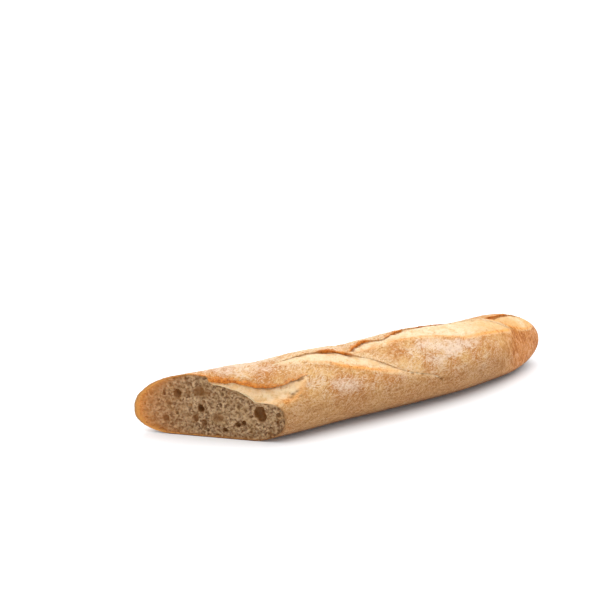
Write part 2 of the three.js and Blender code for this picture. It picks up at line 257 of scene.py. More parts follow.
def values_at(points, x):
    """The values at x of a line of (distance, value, value ...) points."""
    table = np.array(points, float)
    return [np.interp(x, table[:, 0], column) for column in table[:, 1:].T]


def ragged(x, number):
    """How far a torn edge strays from its line: long waves with small bites in them, smaller near the cut."""
    waves = noise(x / 6.0, number + 0.5) - 0.5 + 0.55 * (noise(x / 2.1, number + 9.5) - 0.5)
    return RAGGED * waves * 1.6 * (0.3 + 0.7 * smooth(x, *CALM_EDGE))


def slash_at(number, x, place=None):
    """At x, in the row of a place: the angles of ear and lip, how far the slash is open, its width in mm."""
    line, lip = values_at(SLASHES[number]["edges"], x)
    opened = smooth((lip - line) * MM_PER_DEGREE, 0, OPEN_WIDTH)
    ear = line + opened * ragged(x if place is None else place, number) / MM_PER_DEGREE
    return ear, lip, opened, (lip - ear) * MM_PER_DEGREE


def relief_at(number, x):
    """A slash's relief at x. The step at its ear is higher and lower in turn, as the dough tore."""
    height, at_ear, at_lip, shoulder = values_at(SLASHES[number]["relief"], x)
    uneven_tear = 1 + SLASHES[number]["unsteady"] * (noise(x / 5, number + 80.5) - 0.5)
    return height * uneven_tear, at_ear * uneven_tear, at_lip, shoulder


def slash_depth(number, x, angle, place=None):
    """How deep the surface lies below the round outline because of one slash."""
    ear, lip, opened, width = slash_at(number, x, place)
    height, at_ear, at_lip, shoulder = relief_at(number, x)
    beyond_ear = (angle - ear) * MM_PER_DEGREE
    beyond_lip = (angle - lip) * MM_PER_DEGREE
    bead = LIP_BEAD * np.exp(-((beyond_lip / BEAD_WIDTH) ** 2))
    share = np.clip(beyond_ear / np.maximum(width, 0.1), 0, 1)
    floor = mix(at_ear, at_lip, np.sqrt(share))
    inside = mix(floor, shoulder, smooth(beyond_lip, -SLASHES[number]["lip_rise"], 0)) - bead
    outside = shoulder * np.exp(-np.maximum(beyond_lip, 0) / LIP_REACH) - bead
    before = -height * np.exp(np.minimum(beyond_ear, 0) / EAR_REACH)
    return opened * np.where(beyond_ear < 0, before, np.where(beyond_lip < 0, inside, outside))


def slash_cover(number, x, angle, place=None):
    """1 on the bare floor of a slash, 0 on the skin outside it."""
    ear, lip, _, width = slash_at(number, x, place)
    waves = noise(x / 8, angle / 12, number + 3.5) - 0.5
    bites = noise(x / 2.6, angle / 5, number + 6.5) - 0.5
    beyond_lip = (angle - lip) * MM_PER_DEGREE + (6 * waves + 4 * bites)
    return np.where(angle > ear, smooth(width, 0.6, 4) * (1 - smooth(beyond_lip, -6, 2)), 0.0)


def slash_ropes(number, x, angle, place=None):
    """Ridges that run along a slash, where its dough was pulled apart in ropes, in mm."""
    ear, lip, opened, _ = slash_at(number, x, place)
    beyond_ear = (angle - ear) * MM_PER_DEGREE
    inside = np.where(angle > ear, 1 - smooth((angle - lip) * MM_PER_DEGREE, -1.5, 1.5), 0.0)
    bend = noise(x / 7, beyond_ear / 5, 71.5)
    ridge = 1 - np.abs(2 * noise(x / 12, beyond_ear / 3.1 + bend, number + 70.5) - 1)
    return values_at(SLASHES[number]["ropes"], x)[0] * opened * inside * (ridge - 0.6)


# %% [markdown]
# ## The skin's own relief
# Three things roughen a crust. The whole loaf is a little lumpy, with saddles between the lobes that the
# slashes leave. The skin is wrinkled in short streaks, where the dough was stretched as it was rolled. The
# bare floors are torn into strings that cross from the ear down to the lip. Each is a height in millimetres
# at x and angle.

# %% The relief of skin and floors
SADDLES = (42.0, 119.0, 221.0)
SADDLE_DEPTH = 2.4
SADDLE_LENGTH = 17.0
LUMPS = 0.45
WRINKLE = 0.5
STRING = 0.8
SKIN_LUMPS = 0.7
FLOOR_LUMPS = 0.5
GRIT = 0.25
UPRIGHT_FROM = (225, 262)  # where the wrinkles start to turn upright, and where they are


def unevenness(x, angle):
    """The loaf's lumps and saddles, as a depth in mm."""
    waves = np.sin(x / 11 + angle / 40) + np.sin(x / 17 - angle / 19) + np.sin(angle / 14 + x / 31)
    saddles = np.max([np.exp(-(((x - middle) / SADDLE_LENGTH) ** 2)) for middle in SADDLES], axis=0)
    top = np.maximum(np.sin(np.radians(angle)), 0) ** 2
    return LUMPS * waves / 3 + top * (SADDLE_DEPTH * saddles - SADDLE_DEPTH / 2)


def streaks(x, angle, slant, length, width, layer):
    """Short streaks at a slant to the loaf's length, as ridges from 0 to 1."""
    across = angle * MM_PER_DEGREE
    along = x * math.cos(slant) - across * math.sin(slant)
    aside = x * math.sin(slant) + across * math.cos(slant)
    bend = 1.2 * (noise(x / 9, across / 9, layer + 20.5) - 0.5)
    return 1 - np.abs(2 * noise(along / length, aside / width + bend, layer + 0.5) - 1)


def wrinkles(x, angle):
    """The skin's wrinkles: up the near side, down the far strip, and upright at the round end."""
    side = streaks(x, angle, 0.75, 5.0, 1.9, 1) * 0.65 + streaks(x, angle, 0.9, 2.6, 1.3, 2) * 0.35
    strip = streaks(x, angle, -0.7, 4.5, 1.8, 3) * 0.65 + streaks(x, angle, -0.5, 2.4, 1.3, 4) * 0.35
    upright = streaks(x, angle, 1.45, 14.0, 2.6, 5)
    turned = mix(side, strip, 1 - smooth(angle + x / 12, 112, 128))
    return mix(turned, upright, smooth(x, *UPRIGHT_FROM) * 0.8)


def strings(x, angle):
    """The torn strings of a bare floor, which cross it on the slant."""
    fine = streaks(x, angle, 1.15, 9.0, 1.7, 6)
    broad = streaks(x, angle, 0.9, 12.0, 4.2, 7)
    return 0.6 * fine + 0.4 * broad


def pits(x, angle):
    """The depth of the small pits."""
    total = 0.0
    for middle_x, middle_angle, radius, deep in PITS:
        aside = (angle - middle_angle) * MM_PER_DEGREE
        total = total + deep * np.exp(-((x - middle_x) ** 2 + 2 * aside**2) / radius**2)
    return total


def relief(x, angle, bare):
    """The height of all of it together."""
    lumps = noise(x / 7, angle / 10, 42.5) - 0.5 + 0.6 * (noise(x / 3.2, angle / 5, 43.5) - 0.5)
    grit = noise(x / 1.4, angle / 2.4, 40.5) - 0.5
    skin = WRINKLE * (wrinkles(x, angle) - 0.5) + SKIN_LUMPS * lumps + GRIT * grit
    floor = STRING * (strings(x, angle) - 0.5) + FLOOR_LUMPS * lumps
    return mix(skin, floor, bare) - pits(x, angle)


# %% [markdown]
# ## Rows of points round the loaf
# The crust is laid as rows of points, about 0.8 mm apart, from the cut to the tip. The first row lies in
# the plane of the knife's cut and the later ones turn square to the loaf. The ear of the first slash runs
# almost along the cut, so the rows there are closer. Where a row crosses an ear, a fold of extra points
# goes round its edge: over the top, down its torn face, back under it to the foot, and out again on the
# floor.

# %% Rows of points
SPACING = 0.78
UNDER_SPACING = 1.9 * SPACING  # between the points of a row, on the underside
UPPER_ANGLES = (25.0, 205.0)  # between these the points are a SPACING apart
FINE_SPACING = 0.2  # between the rows, up to FINE_END
FINE_END = 9.0
END_ROWS = 84  # in the rounding of the tip
SMALLEST_ROW = 0.03  # the share of its full count of points that a row keeps at least
CUT_BLEND = 0.06  # the share of the loaf over which the rows turn square to it
SETTLING = 5  # rounds that bring a row into its plane
NARROWEST = 0.8  # a narrower slash gets no fold
EAR_CLEARANCE = 1.1  # no other point is closer to the fold than this on the skin
FLOOR_CLEARANCE = 0.7  # and this on the floor
EAR_FADE = 9.0  # how far from the cut an ear overhangs fully
EAR_THICKNESS = 4.0  # the drop in mm from which it overhangs fully
FLOOR_STEP = 6  # from this step of a fold on, its points lie on the floor


def cut_place(angle):
    """Where the plane of the cut meets the line at an angle, on the round outline."""
    half, _, shift, _ = section(0.0)
    return -(shift + half * np.cos(np.radians(angle))) * CUT_SLOPE


def start_place(angle, share):
    """Where a row lies at an angle, before it is set to its plane."""
    return mix(cut_place(angle), CUT_TO_TIP, share)


def undercut(number, place):
    """How far an ear overhangs its floor. It opens and closes along the ear, and at the cut it is shut."""
    uneven_tear = 0.45 + 0.9 * noise(place / 6, number + 61.5)
    return SLASHES[number]["undercut"] * smooth(place, 0, EAR_FADE) * uneven_tear


def fold(number, x, place):
    """The points round an ear's edge: distance across from the edge and depth, both in mm."""
    height, at_ear, *_ = [float(v) for v in relief_at(number, x)]
    face, burnt = [float(v) for v in values_at(SLASHES[number]["torn"], x)]
    _, _, opened, _ = [float(v) for v in slash_at(number, x, place)]
    drop = (height + at_ear) * opened
    under = float(undercut(number, place) * smooth(height + at_ear, 0, EAR_THICKNESS)) * (0.3 + 0.7 * burnt)
    face = min(face * (0.7 + 0.6 * float(noise(place / 2.3, number + 30.5))), 0.6 * drop)
    top = -height * opened
    bottom = top + drop
    over_the_top = [(-0.55, top - 0.10), (-0.12, top + 0.12)]
    torn_face = [(0.0, top + 0.45 * face), (-0.18, top + 0.8 * face), (-0.7, top + face)]
    back_under = [(-0.5 * under - 0.3, mix(top + face, bottom, 0.45))]
    foot = [(-under - 0.2, bottom - 0.35), (-under + 0.15, bottom + 0.1)]
    out_on_the_floor = [(-0.5 * under, bottom + 0.05), (0.1, bottom)]
    points = over_the_top + torn_face + back_under + foot + out_on_the_floor
    crumbled = 0.5 * float(smooth(drop, 0.8, 3) * smooth(place, 0, EAR_FADE))
    for step in range(len(over_the_top), FLOOR_STEP):
        aside, depth = points[step]
        points[step] = (aside + crumbled * float(noise(place / 1.4, number + 2.0 * step, 33.5) - 0.5), depth)
    return points


def row_of_marks(share):
    """One row of marks, and how far it is pulled into the plane of the cut.

    A mark is x, angle, a depth of its own, the number of its slash, its step in the fold and its key.
    Outside the folds the depth is NaN, because the slashes give it, and the number is -1.
    """
    place = share * CUT_TO_TIP
    half, height, _, _ = section(place)
    size = max(float(2 * half + height) / (WIDTH + HEIGHT), SMALLEST_ROW)
    ends = (-FLAT_EDGE, *UPPER_ANGLES, 180 + FLAT_EDGE)
    spans = []
    for start, end, gap in zip(ends, ends[1:], (UNDER_SPACING, SPACING, UNDER_SPACING)):
        count = max(3, round((end - start) * MM_PER_DEGREE * size / gap))
        spans.append(np.linspace(start, end, count, endpoint=False))
    angle = np.append(np.concatenate(spans), ends[-1])
    pull = 1 - float(smooth(share, 0, CUT_BLEND))
    x = start_place(angle, share)
    for _ in range(SETTLING if pull > 0 else 0):
        depth = sum(slash_depth(n, x, angle, place) for n in range(len(SLASHES))) + unevenness(x, angle)
        y = crust_point(x, angle, depth)[:, 1]
        x = start_place(angle, share) + pull * (-y * CUT_SLOPE - cut_place(angle))
    marks = [(a, b, math.nan, -1, 0, None) for a, b in zip(x.tolist(), angle.tolist())]
    marks[0] = (*marks[0][:5], "first")
    marks[-1] = (*marks[-1][:5], "last")
    for number in range(len(SLASHES)):
        ears = slash_at(number, np.array([m[0] for m in marks]), place)[0]
        gap = np.array([m[1] for m in marks]) - ears
        crossing = np.nonzero((gap[1:] > 0) & (gap[:-1] <= 0))[0]
        if not len(crossing):
            continue
        after = int(crossing[0]) + 1
        where = mix(marks[after - 1][0], marks[after][0], gap[after - 1] / (gap[after - 1] - gap[after]))
        ear, _, _, width = [float(v) for v in slash_at(number, where, place)]
        if width < NARROWEST:
            continue
        clear = [m for m in marks[:after] if m[5] or m[1] < ear - EAR_CLEARANCE / MM_PER_DEGREE]
        rest = [m for m in marks[after:] if m[5] or m[1] > ear + FLOOR_CLEARANCE / MM_PER_DEGREE]
        folded = [
            (where, ear + aside / MM_PER_DEGREE, depth, number, step, f"ear {number} {step}")
            for step, (aside, depth) in enumerate(fold(number, where, place))
        ]
        marks = clear + folded + rest
    return marks, pull


straight = CUT_TO_TIP - HEIGHT_TAPER
end_turns = np.linspace(0, math.pi / 2, END_ROWS, endpoint=False)
row_places = np.concatenate([
    np.linspace(0, FINE_END, round(FINE_END / FINE_SPACING), endpoint=False),
    np.linspace(FINE_END, straight, round((straight - FINE_END) / SPACING), endpoint=False),
    straight + HEIGHT_TAPER * np.sin(end_turns),
])
rows = [row_of_marks(place / CUT_TO_TIP) for place in row_places]
print("rows:", len(rows), "points:", sum(len(marks) for marks, _ in rows))

# %% [markdown]
# ## From rows to a skin
# All points are now moved to their depth at once. Neighbouring rows have different numbers of points, so
# they are joined like a zip: from one end to the other, always across the shorter gap. The fold's points
# are joined to their own kind first, so that an ear's edge runs on cleanly from row to row.

# %% Points and masks of the crust
TORN_STEPS = np.array([0.4, 0.8, 1, 1, 1, 1, 0, 0, 0, 0])  # how torn each step of a fold is
# Painted shade: how far each step of a fold lies in the hollow under the ear, which is coloured darker.
HOLLOW_SHADE_STEPS = np.array([0, 0, 0, 0, 0.3, 0.7, 1, 1, 1, 1])  # and how deep in the hollow
SCORCHED = (0.4, 1.7, 0.8)  # the strip along an ear: its middle before the edge, and its reach to both sides
PALE_REACH = 7.0  # how far behind a pale ear the skin is pale too
HEATED = (1.2, 2.6)  # the strip along a lip: its middle before the lip, and its reach
FOLD_RELIEF = 0.35  # the share of the relief that the folds get
SMOOTH_TIP = (CUT_TO_TIP - 0.5, CUT_TO_TIP - 6)  # where the relief fades out
x, angle, own_depth, own_slash, step = (
    np.array([mark[i] for marks, _ in rows for mark in marks], float) for i in range(5)
)
step = step.astype(int)
row_pull = np.concatenate([np.full(len(marks), pull) for marks, pull in rows])
row_share = np.concatenate([np.full(len(marks), at / CUT_TO_TIP) for (marks, _), at in zip(rows, row_places)])
place = row_share * CUT_TO_TIP
folded = own_slash >= 0

depth = unevenness(x, angle)
ropes, bare, lip_heat, burnt, scorched, pale, baked = np.zeros((7, len(x)))
for number, slash in enumerate(SLASHES):
    own = own_slash == number
    depth += np.where(own, np.nan_to_num(own_depth), slash_depth(number, x, angle, place))
    ropes += slash_ropes(number, x, angle, place)
    cover = np.where(own, (step >= FLOOR_STEP).astype(float), slash_cover(number, x, angle, place))
    bare = np.maximum(bare, cover)
    ear, lip, opened, _ = slash_at(number, x, place)
    beyond_ear = (angle - ear) * MM_PER_DEGREE
    beyond_lip = (angle - lip) * MM_PER_DEGREE
    own_burnt = values_at(slash["torn"], x)[1]
    burnt = np.where(own, own_burnt, burnt)
    before_edge = np.minimum(beyond_ear + SCORCHED[0], 0) / SCORCHED[1]
    past_edge = np.maximum(beyond_ear, 0) / SCORCHED[2]
    patchy = smooth(noise(x / 1.8, angle / 3.5, number + 53.5), 0.2, 0.55)
    scorched = np.maximum(scorched, opened * np.exp(-(before_edge**2) - past_edge**2) * patchy * own_burnt)
    floor_area = opened * (angle > ear - 4) * (angle < lip + 9)
    baked = np.maximum(baked, floor_area * values_at(slash["baked"], x)[0])
    behind_ear = opened * np.exp(-((np.minimum(beyond_ear, 0) / PALE_REACH) ** 2))
    pale = np.maximum(pale, behind_ear * (1 - own_burnt) * (angle < lip + 3))
    near_lip = opened * np.exp(-(((beyond_lip + HEATED[0]) / HEATED[1]) ** 2))
    lip_heat = np.maximum(lip_heat, np.where(own, 0, near_lip * values_at(slash["heat"], x)[0]))
torn = np.where(folded, TORN_STEPS[step] * burnt, 0.8 * scorched)
# Painted shade in the hollow under each ear, stronger where the ear baked dark.
hollow_shade = np.where(folded, HOLLOW_SHADE_STEPS[step], 0.0) * (0.2 + 0.8 * burnt)
height = (relief(x, angle, bare) + ropes) * np.where(folded, FOLD_RELIEF, 1.0) * smooth(place, *SMOOTH_TIP)
position = crust_point(x, angle, depth - height)
position[:, 0] = start_place(angle, row_share) + row_pull * (-position[:, 1] * CUT_SLOPE - cut_place(angle))
print("crust, mm:", position.min(0).round(1), position.max(0).round(1))


# %% Join the rows
def zip_rows(lower, upper, place):
    """The triangles between two chains of point numbers, joined across the shorter gap each time."""
    faces = []
    i = j = 0
    while i + 1 < len(lower) or j + 1 < len(upper):
        a, d = place[lower[i]], place[upper[j]]
        ahead = math.dist(place[lower[i + 1]], d) if i + 1 < len(lower) else math.inf
        above = math.dist(place[upper[j + 1]], a) if j + 1 < len(upper) else math.inf
        if ahead < above:
            faces.append((lower[i], lower[i + 1], upper[j]))
            i += 1
        else:
            faces.append((lower[i], upper[j + 1], upper[j]))
            j += 1
    return faces


places = position.tolist()
firsts = np.cumsum([0] + [len(marks) for marks, _ in rows])
keyed = [
    {mark[5]: int(first) + i for i, mark in enumerate(marks) if mark[5]}
    for (marks, _), first in zip(rows, firsts)
]
faces = []
for keys, next_keys in zip(keyed, keyed[1:]):
    shared = [key for key in keys if key in next_keys]
    for start, end in zip(shared, shared[1:]):
        lower = list(range(keys[start], keys[end] + 1))
        upper = list(range(next_keys[start], next_keys[end] + 1))
        faces += zip_rows(lower, upper, places)
    faces += zip_rows([keys["last"], keys["first"]], [next_keys["last"], next_keys["first"]], places)
print("skin triangles:", len(faces))

# %% [markdown]
# ## The crust's cut edge
# At the cut the crust shows as a thin ring, browned right through: 0.8 mm under the skin and 0.4 mm on the
# bare floor of the slash. The ring is flat, in the plane of the knife. Inside it the crust turns in and
# makes a shallow pocket, and the crumb, a piece of its own, will fill that pocket.

# %% The ring and the pocket behind it
CRUST_THICKNESS = 0.8
BARE_THICKNESS = 0.4
POCKET_DEPTH = 13.0
POCKET_BACK = 0.93  # the size of the pocket's back, as a share of its mouth
WALL_POINTS = 400
edges = [keys["ear 0 2"] for keys in keyed if "ear 0 2" in keys]
ear_behind = position[edges] @ [math.sin(CUT_ANGLE), math.cos(CUT_ANGLE), 0]
ear_angles = angle[edges]
ear_undercuts = undercut(0, place[edges])


def wall_depth(x, angle, behind):
    """How deep the pocket's wall lies at some mm behind the cut, under the skin or under the ear's floor."""
    ear = np.interp(behind, ear_behind, ear_angles)
    under = (np.interp(behind, ear_behind, ear_undercuts) + CRUST_THICKNESS) / MM_PER_DEGREE
    read_at = np.where((angle > ear - under) & (angle < ear + 0.1), ear + 0.1, angle)
    thickness = mix(CRUST_THICKNESS, BARE_THICKNESS, slash_cover(0, x, read_at, 0.0))
    return slash_depth(0, x, read_at, 0.0) + unevenness(x, angle) + thickness


wall_angles = np.linspace(-FLAT_EDGE, 180 + FLAT_EDGE, WALL_POINTS)
wall_x = cut_place(wall_angles)
for _ in range(SETTLING + 1):
    wall = crust_point(wall_x, wall_angles, wall_depth(wall_x, wall_angles, 0.0))
    wall_x = -wall[:, 1] * CUT_SLOPE
wall[:, 0] = wall_x
wall[:, 2] = np.maximum(wall[:, 2], CRUST_THICKNESS)
middle = wall.mean(0)
back = middle + (wall - middle) * POCKET_BACK + [POCKET_DEPTH, 0, 0]
ring_first = len(position)
rim = list(range(firsts[1]))
outer = [Vector((0, position[i, 1], position[i, 2])) for i in rim]
inner = [Vector((0, y, z)) for _, y, z in wall]
ring_numbers = rim + [ring_first + i for i in range(len(wall))]
ring = [tuple(ring_numbers[i] for i in face) for face in tessellate_polygon([outer, inner])]
count = len(wall)
pocket = []
for i in range(count):
    a, b = ring_first + i, ring_first + (i + 1) % count
    pocket += [(a, b, b + count), (a, b + count, a + count)]
floor_of_pocket = [
    tuple(ring_first + count + i for i in face)
    for face in tessellate_polygon([[Vector((0, y, z)) for _, y, z in back]])
]
tip_number = ring_first + 2 * count
last = list(range(firsts[-2], firsts[-1]))
tip = np.array([[CUT_TO_TIP, position[last, 1].mean(), position[last, 2].mean()]])
cap = [(last[i], last[(i + 1) % len(last)], tip_number) for i in range(len(last))]
print("ring:", len(ring), "pocket:", len(pocket) + len(floor_of_pocket))

# %% [markdown]
# ## One closed mesh with its masks
# The material needs to know what each spot of the surface is, so every point carries a row of numbers,
# mostly from 0 to 1. `bare` is the floor of a slash, `torn` an ear's torn face, `hollow_shade` the foot below
# it, painted darker as shade, and `pit shade` a small hole, painted darker by its depth as shade. `baked` is
# how golden a floor is and `golden lip` how golden the lip beside it. `browned`, `flour`, `pale`,
# `shaded lower side` and `under` are kinds of skin, and `upright` is where its wrinkles stand upright. The
# lower side is darkened as painted shade, where the light falls off towards the table; `under` browns the
# underside, partly as real browning from the hot stone and partly as painted shadow where it meets the table.
# `crest` is the top of a wrinkle or string, `ring` the cut edge, and `painted backlight` the far end of the
# cut, painted orange for light that shines through the thin crust there. They are worked out here, where the
# shape is known, and the material only reads them. A UV map unrolls the skin in metres, for the fine lines on
# it.

# %% Browning and flour
ROUND_END = (232, 268)  # where the skin turns to the browner round end
FLOURY = [
    (0.75, 186, 131, 32, 22), (0.5, 108, 155, 30, 14), (0.45, 50, 96, 44, 20), (0.3, 195, 172, 50, 14),
    (0.25, 226, 168, 22, 14), (0.3, 75, 140, 22, 12),
]
# Painted light: where the orange of light shining through the thin crust starts and is full.
PAINTED_GLOW_SPAN = (-8, 26)  # where the glow starts and is full, from the cut's middle to its far end
PALE = [(1.0, 88, 74, 14, 14), (0.8, 135, 76, 24, 14)]


def soft_patches(x, angle, table):
    """The sum of soft patches: strength, distance, angle, and how far each fades along and round the loaf."""
    return sum(
        strength * np.exp(-(((x - middle_x) / reach_x) ** 2) - (((angle - middle_angle) / reach_angle) ** 2))
        for strength, middle_x, middle_angle, reach_x, reach_angle in table
    )


patches = 0.6 * noise(x / 16, angle / 22, 50.5) + 0.4 * noise(x / 5, angle / 9, 54.5)
golden_lip = lip_heat * smooth(noise(x / 5, angle / 6, 51.5), 0.2, 0.5)
browned = smooth(x, *ROUND_END) + 0.8 * golden_lip
browned += 0.3 * smooth(patches, 0.55, 0.85) + 0.3 * smooth(angle, 176, 205) * noise(x / 20, 52.5)
far_side = (1 - smooth(angle, 70, 110)) * (1 - smooth(x, 190, 240))
flour = 0.18 + soft_patches(x, angle, FLOURY) + 0.45 * far_side
flour *= mix(0.2, 1.35, smooth(patches, 0.2, 0.8)) * (1 - 0.9 * smooth(x, *ROUND_END)) * (1 - 0.85 * lip_heat)
untorn = 1 - np.clip(torn * 1.5, 0, 1)
# The underside: its crust is browner from the hot stone, and it is darkened further as painted shadow where it
# meets the table.
under = smooth(-np.sin(np.radians(angle)), 0.36, 0.8)
masks = {
    "bare": bare,
    "torn": torn,
    # Painted shade: the hollow at the foot of an ear.
    "hollow_shade": hollow_shade,
    "browned": browned * untorn,
    "flour": flour * untorn * (1 - under),
    # Painted shade: the lower part of the side darker, as the light falls off towards the table.
    "shaded lower side": smooth(angle, 142, 178) * (1 - smooth(x, 236, 268)),
    "under": under,
    # Painted shade: the small pits darker with their depth.
    "pit shade": np.clip(pits(x, angle), 0, 1),
    "pale": np.maximum(pale, soft_patches(x, angle, PALE)),
    "baked": baked,
    "golden lip": golden_lip,
    "crest": np.where(bare > 0.5, strings(x, angle), wrinkles(x, angle)),
    "ring": np.zeros_like(x),
    "upright": smooth(x, 225, 255),
    # Painted light: orange at the far end of the cut, for light shining through the thin crust.
    "painted backlight": smooth(-position[:, 0], *PAINTED_GLOW_SPAN) * (1 - smooth(place, 0, 14)),
}

# %% [markdown]
# The loaf's own zero is in the middle of its cut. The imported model's zero is the middle of its box, and its
# tip is its farthest point, so that shift is measured on the frame's box.

# %% Make the crust
CUT_BEYOND_BOX_MIDDLE = 1.226
box_middle_y = (float(low.y) + float(high.y)) / 2 / MM
to_frame = np.array([float(high.x) / MM - CUT_TO_TIP, box_middle_y + CUT_BEYOND_BOX_MIDDLE, 0.0])


def make_mesh(name, points, faces, masks, uv=None):
    """A mesh object of points in mm in the loaf's own place, with its masks as attributes."""
    mesh = bpy.data.meshes.new(name)
    mesh.from_pydata(((points + to_frame) * MM).tolist(), [], faces)
    for title, values in masks.items():
        mesh.attributes.new(title, "FLOAT", "POINT").data.foreach_set("value", values.astype(np.float32))
    if uv is not None:
        corners = np.zeros(len(mesh.loops), int)
        mesh.loops.foreach_get("vertex_index", corners)
        mesh.uv_layers.new(name="skin").data.foreach_set("uv", uv[corners].astype(np.float32).ravel())
    mesh.shade_smooth()
    mesh.set_sharp_from_angle(angle=math.radians(70))
    thing = bpy.data.objects.new(name, mesh)
    bpy.context.scene.collection.objects.link(thing)
    return thing


def face_outwards(thing):
    """Turns the faces of a closed mesh so that they all point out of it."""
    work = bmesh.new()
    work.from_mesh(thing.data)
    bmesh.ops.recalc_face_normals(work, faces=work.faces)
    if work.calc_volume(signed=True) < 0:
        bmesh.ops.reverse_faces(work, faces=work.faces)
    loose = sum(1 for edge in work.edges if not edge.is_manifold)
    volume = round(work.calc_volume() * 1e6, 1)
    print(thing.name, "faces:", len(work.faces), "open edges:", loose, "volume in cm3:", volume)
    work.to_mesh(thing.data)
    work.free()


points = np.concatenate([position, wall, back, tip])
masks = {title: np.append(values, np.zeros(len(points) - ring_first)) for title, values in masks.items()}
masks["ring"][ring_first:tip_number] = 1.0
masks["bare"][ring_first : ring_first + count] = slash_cover(0, wall_x, wall_angles, 0.0)
# The cut edge gets the same painted light at the far end.
masks["painted backlight"][ring_first : ring_first + count] = smooth(-wall_x, *PAINTED_GLOW_SPAN)
unrolled = np.stack([x, angle * MM_PER_DEGREE], axis=1) * MM
unrolled = np.concatenate([unrolled, wall[:, 1:] * MM, back[:, 1:] * MM, [[CUT_TO_TIP * MM, 0]]])
crust = make_mesh("crust", points, faces + ring + pocket + floor_of_pocket + cap, masks, unrolled)
face_outwards(crust)

# %% [markdown]
# ## The crumb
# A baguette's crumb is a foam: large bubbles where the gas ran together, thousands of small ones between
# them, and thin glossy walls. The slab behind the cut is made as one on a fine grid. At each grid point a
# number says how far it is inside the bread or inside a bubble, and the surface is drawn where that number
# crosses zero. This gives round, open, joined-up holes, which no flat picture of holes could.
# `LARGE_BUBBLES` are the ones that catch the eye: place across the cut, height above the table, width,
# height, and depth as a share of the smaller of these two.

# %% The crumb's bubbles
STEP = 0.42  # of the grid
SLAB = 9.0  # the thickness of the slab behind the cut
SLAB_WIDTH = 61.0  # from its middle to either side
SLAB_TOP = 53.0
MARGIN = 1.5  # of grid in front of the slab and behind it
INTO_CRUST = 0.35  # how far the crumb reaches into the crust, so that no gap shows
LARGE_BUBBLES = [
    (-26.1, 32.5, 5.6, 7.1, 0.9), (-9.5, 35.0, 9, 8.6, 0.4), (-3.6, 34.2, 6.5, 7.6, 0.35),
    (1.4, 33.6, 3.5, 4.7, 0.4), (-8.4, 21.8, 4.9, 6.3, 1.3), (-6.2, 27.6, 2.8, 3.4, 0.8),
    (35.6, 22.4, 8.2, 10.5, 0.8), (37.2, 19.0, 7.4, 8.5, 0.8), (-32.6, 24, 4.2, 3.9, 0.6),
    (-35.2, 11.8, 5.6, 6.3, 0.6), (-12.8, 13.7, 5.6, 5.5, 0.55), (-5.8, 10.5, 4.6, 7.1, 0.6),
    (4.3, 15.6, 8.2, 7.1, 0.4), (9.7, 6.4, 4.2, 3.9, 1.1), (19.4, 10.9, 4.2, 4.4, 1.1),
    (23.6, 12.9, 4, 4.4, 1.1), (48.6, 15.5, 2.3, 3.1, 1.3), (50.3, 21.8, 4.2, 3.9, 0.7),
    (43.4, 6.3, 3.5, 3.6, 0.7), (17.1, 4.2, 7.4, 2.6, 0.5), (-50.9, 23.1, 2.1, 3.9, 0.7),
    (-46.2, 24, 2.1, 3.9, 0.7), (-18, 34.3, 4.2, 5.5, 0.45), (-42.1, 14.3, 2.8, 3.1, 0.6),
    (12.8, 36.8, 2.8, 3.4, 0.5), (-35.6, 40.6, 3.5, 2.4, 0.6), (29.5, 6.5, 2.4, 2.2, 0.9),
    (-16.5, 24.5, 2.6, 3.2, 0.5),
]
LARGE_BEHIND_CUT = 0.4  # how far behind the cut the large bubbles have their middle
SMALL_BUBBLES = 3900
SMALL_RADII = (0.5, 1.1)  # the smallest, and how much larger they get
SMALL_PLACES = ((-60, 60), (-0.3, 0.7), (1, 49))  # across the cut, behind it and above the table
SMALL_STRETCH = (0.75, 1.4)
ROUGH_CUT = (0.35, 0.2)  # how rough the torn face of the cut is, and how far it stands back
ROUGH_BUBBLES = 0.9  # how uneven the walls of the bubbles are
FILLED = -0.3  # the value of a bubble that is filled again
BLUR = (0.2, 0.6, 0.2)  # the weights of three neighbours in the last smoothing
u_axis = np.arange(-SLAB_WIDTH, SLAB_WIDTH, STEP)
w_axis = np.arange(-MARGIN, SLAB + MARGIN, STEP)
z_axis = np.arange(-0.5, SLAB_TOP, STEP)
u, w, z = np.meshgrid(u_axis, w_axis, z_axis, indexing="ij")
slab_x = u * math.cos(CUT_ANGLE) + w * math.sin(CUT_ANGLE)
slab_y = -u * math.sin(CUT_ANGLE) + w * math.cos(CUT_ANGLE)


def depth_inside(x, y, z):
    """How far a point lies inside the wall of the pocket, in mm; less than 0 is outside it."""
    half, height, shift, lift = section(x)
    belly = BELLY * height
    beside = (y - shift) / half
    above = z - lift - belly
    upper = np.hypot(beside, above / (height - belly))
    curve = lower_curve(x)
    drop = np.abs(above) / belly * LOWEST ** (2 / curve)
    lower = (np.abs(beside) ** curve + drop**curve) ** (1 / curve)
    scale = np.where(above > 0, upper, lower)
    angle = np.degrees(np.arctan2(above / (height - belly), beside)) % 360
    angle = np.where(angle > 270, angle - 360, angle)
    behind = x * math.sin(CUT_ANGLE) + y * math.cos(CUT_ANGLE)
    wall_here = wall_depth(x, angle, behind) * smooth(np.sin(np.radians(angle)), *NEAR_UNDERSIDE)
    return np.minimum((1 - scale) * RADIUS - wall_here, z - CRUST_THICKNESS)


inside = depth_inside(slab_x, slab_y, z) + INTO_CRUST
cut_rough = ROUGH_CUT[0] * (noise(u / 1.4, z / 1.4, 60.5) - 0.5) + ROUGH_CUT[1]
bread = np.maximum(np.maximum(-inside, cut_rough - w), w - SLAB)


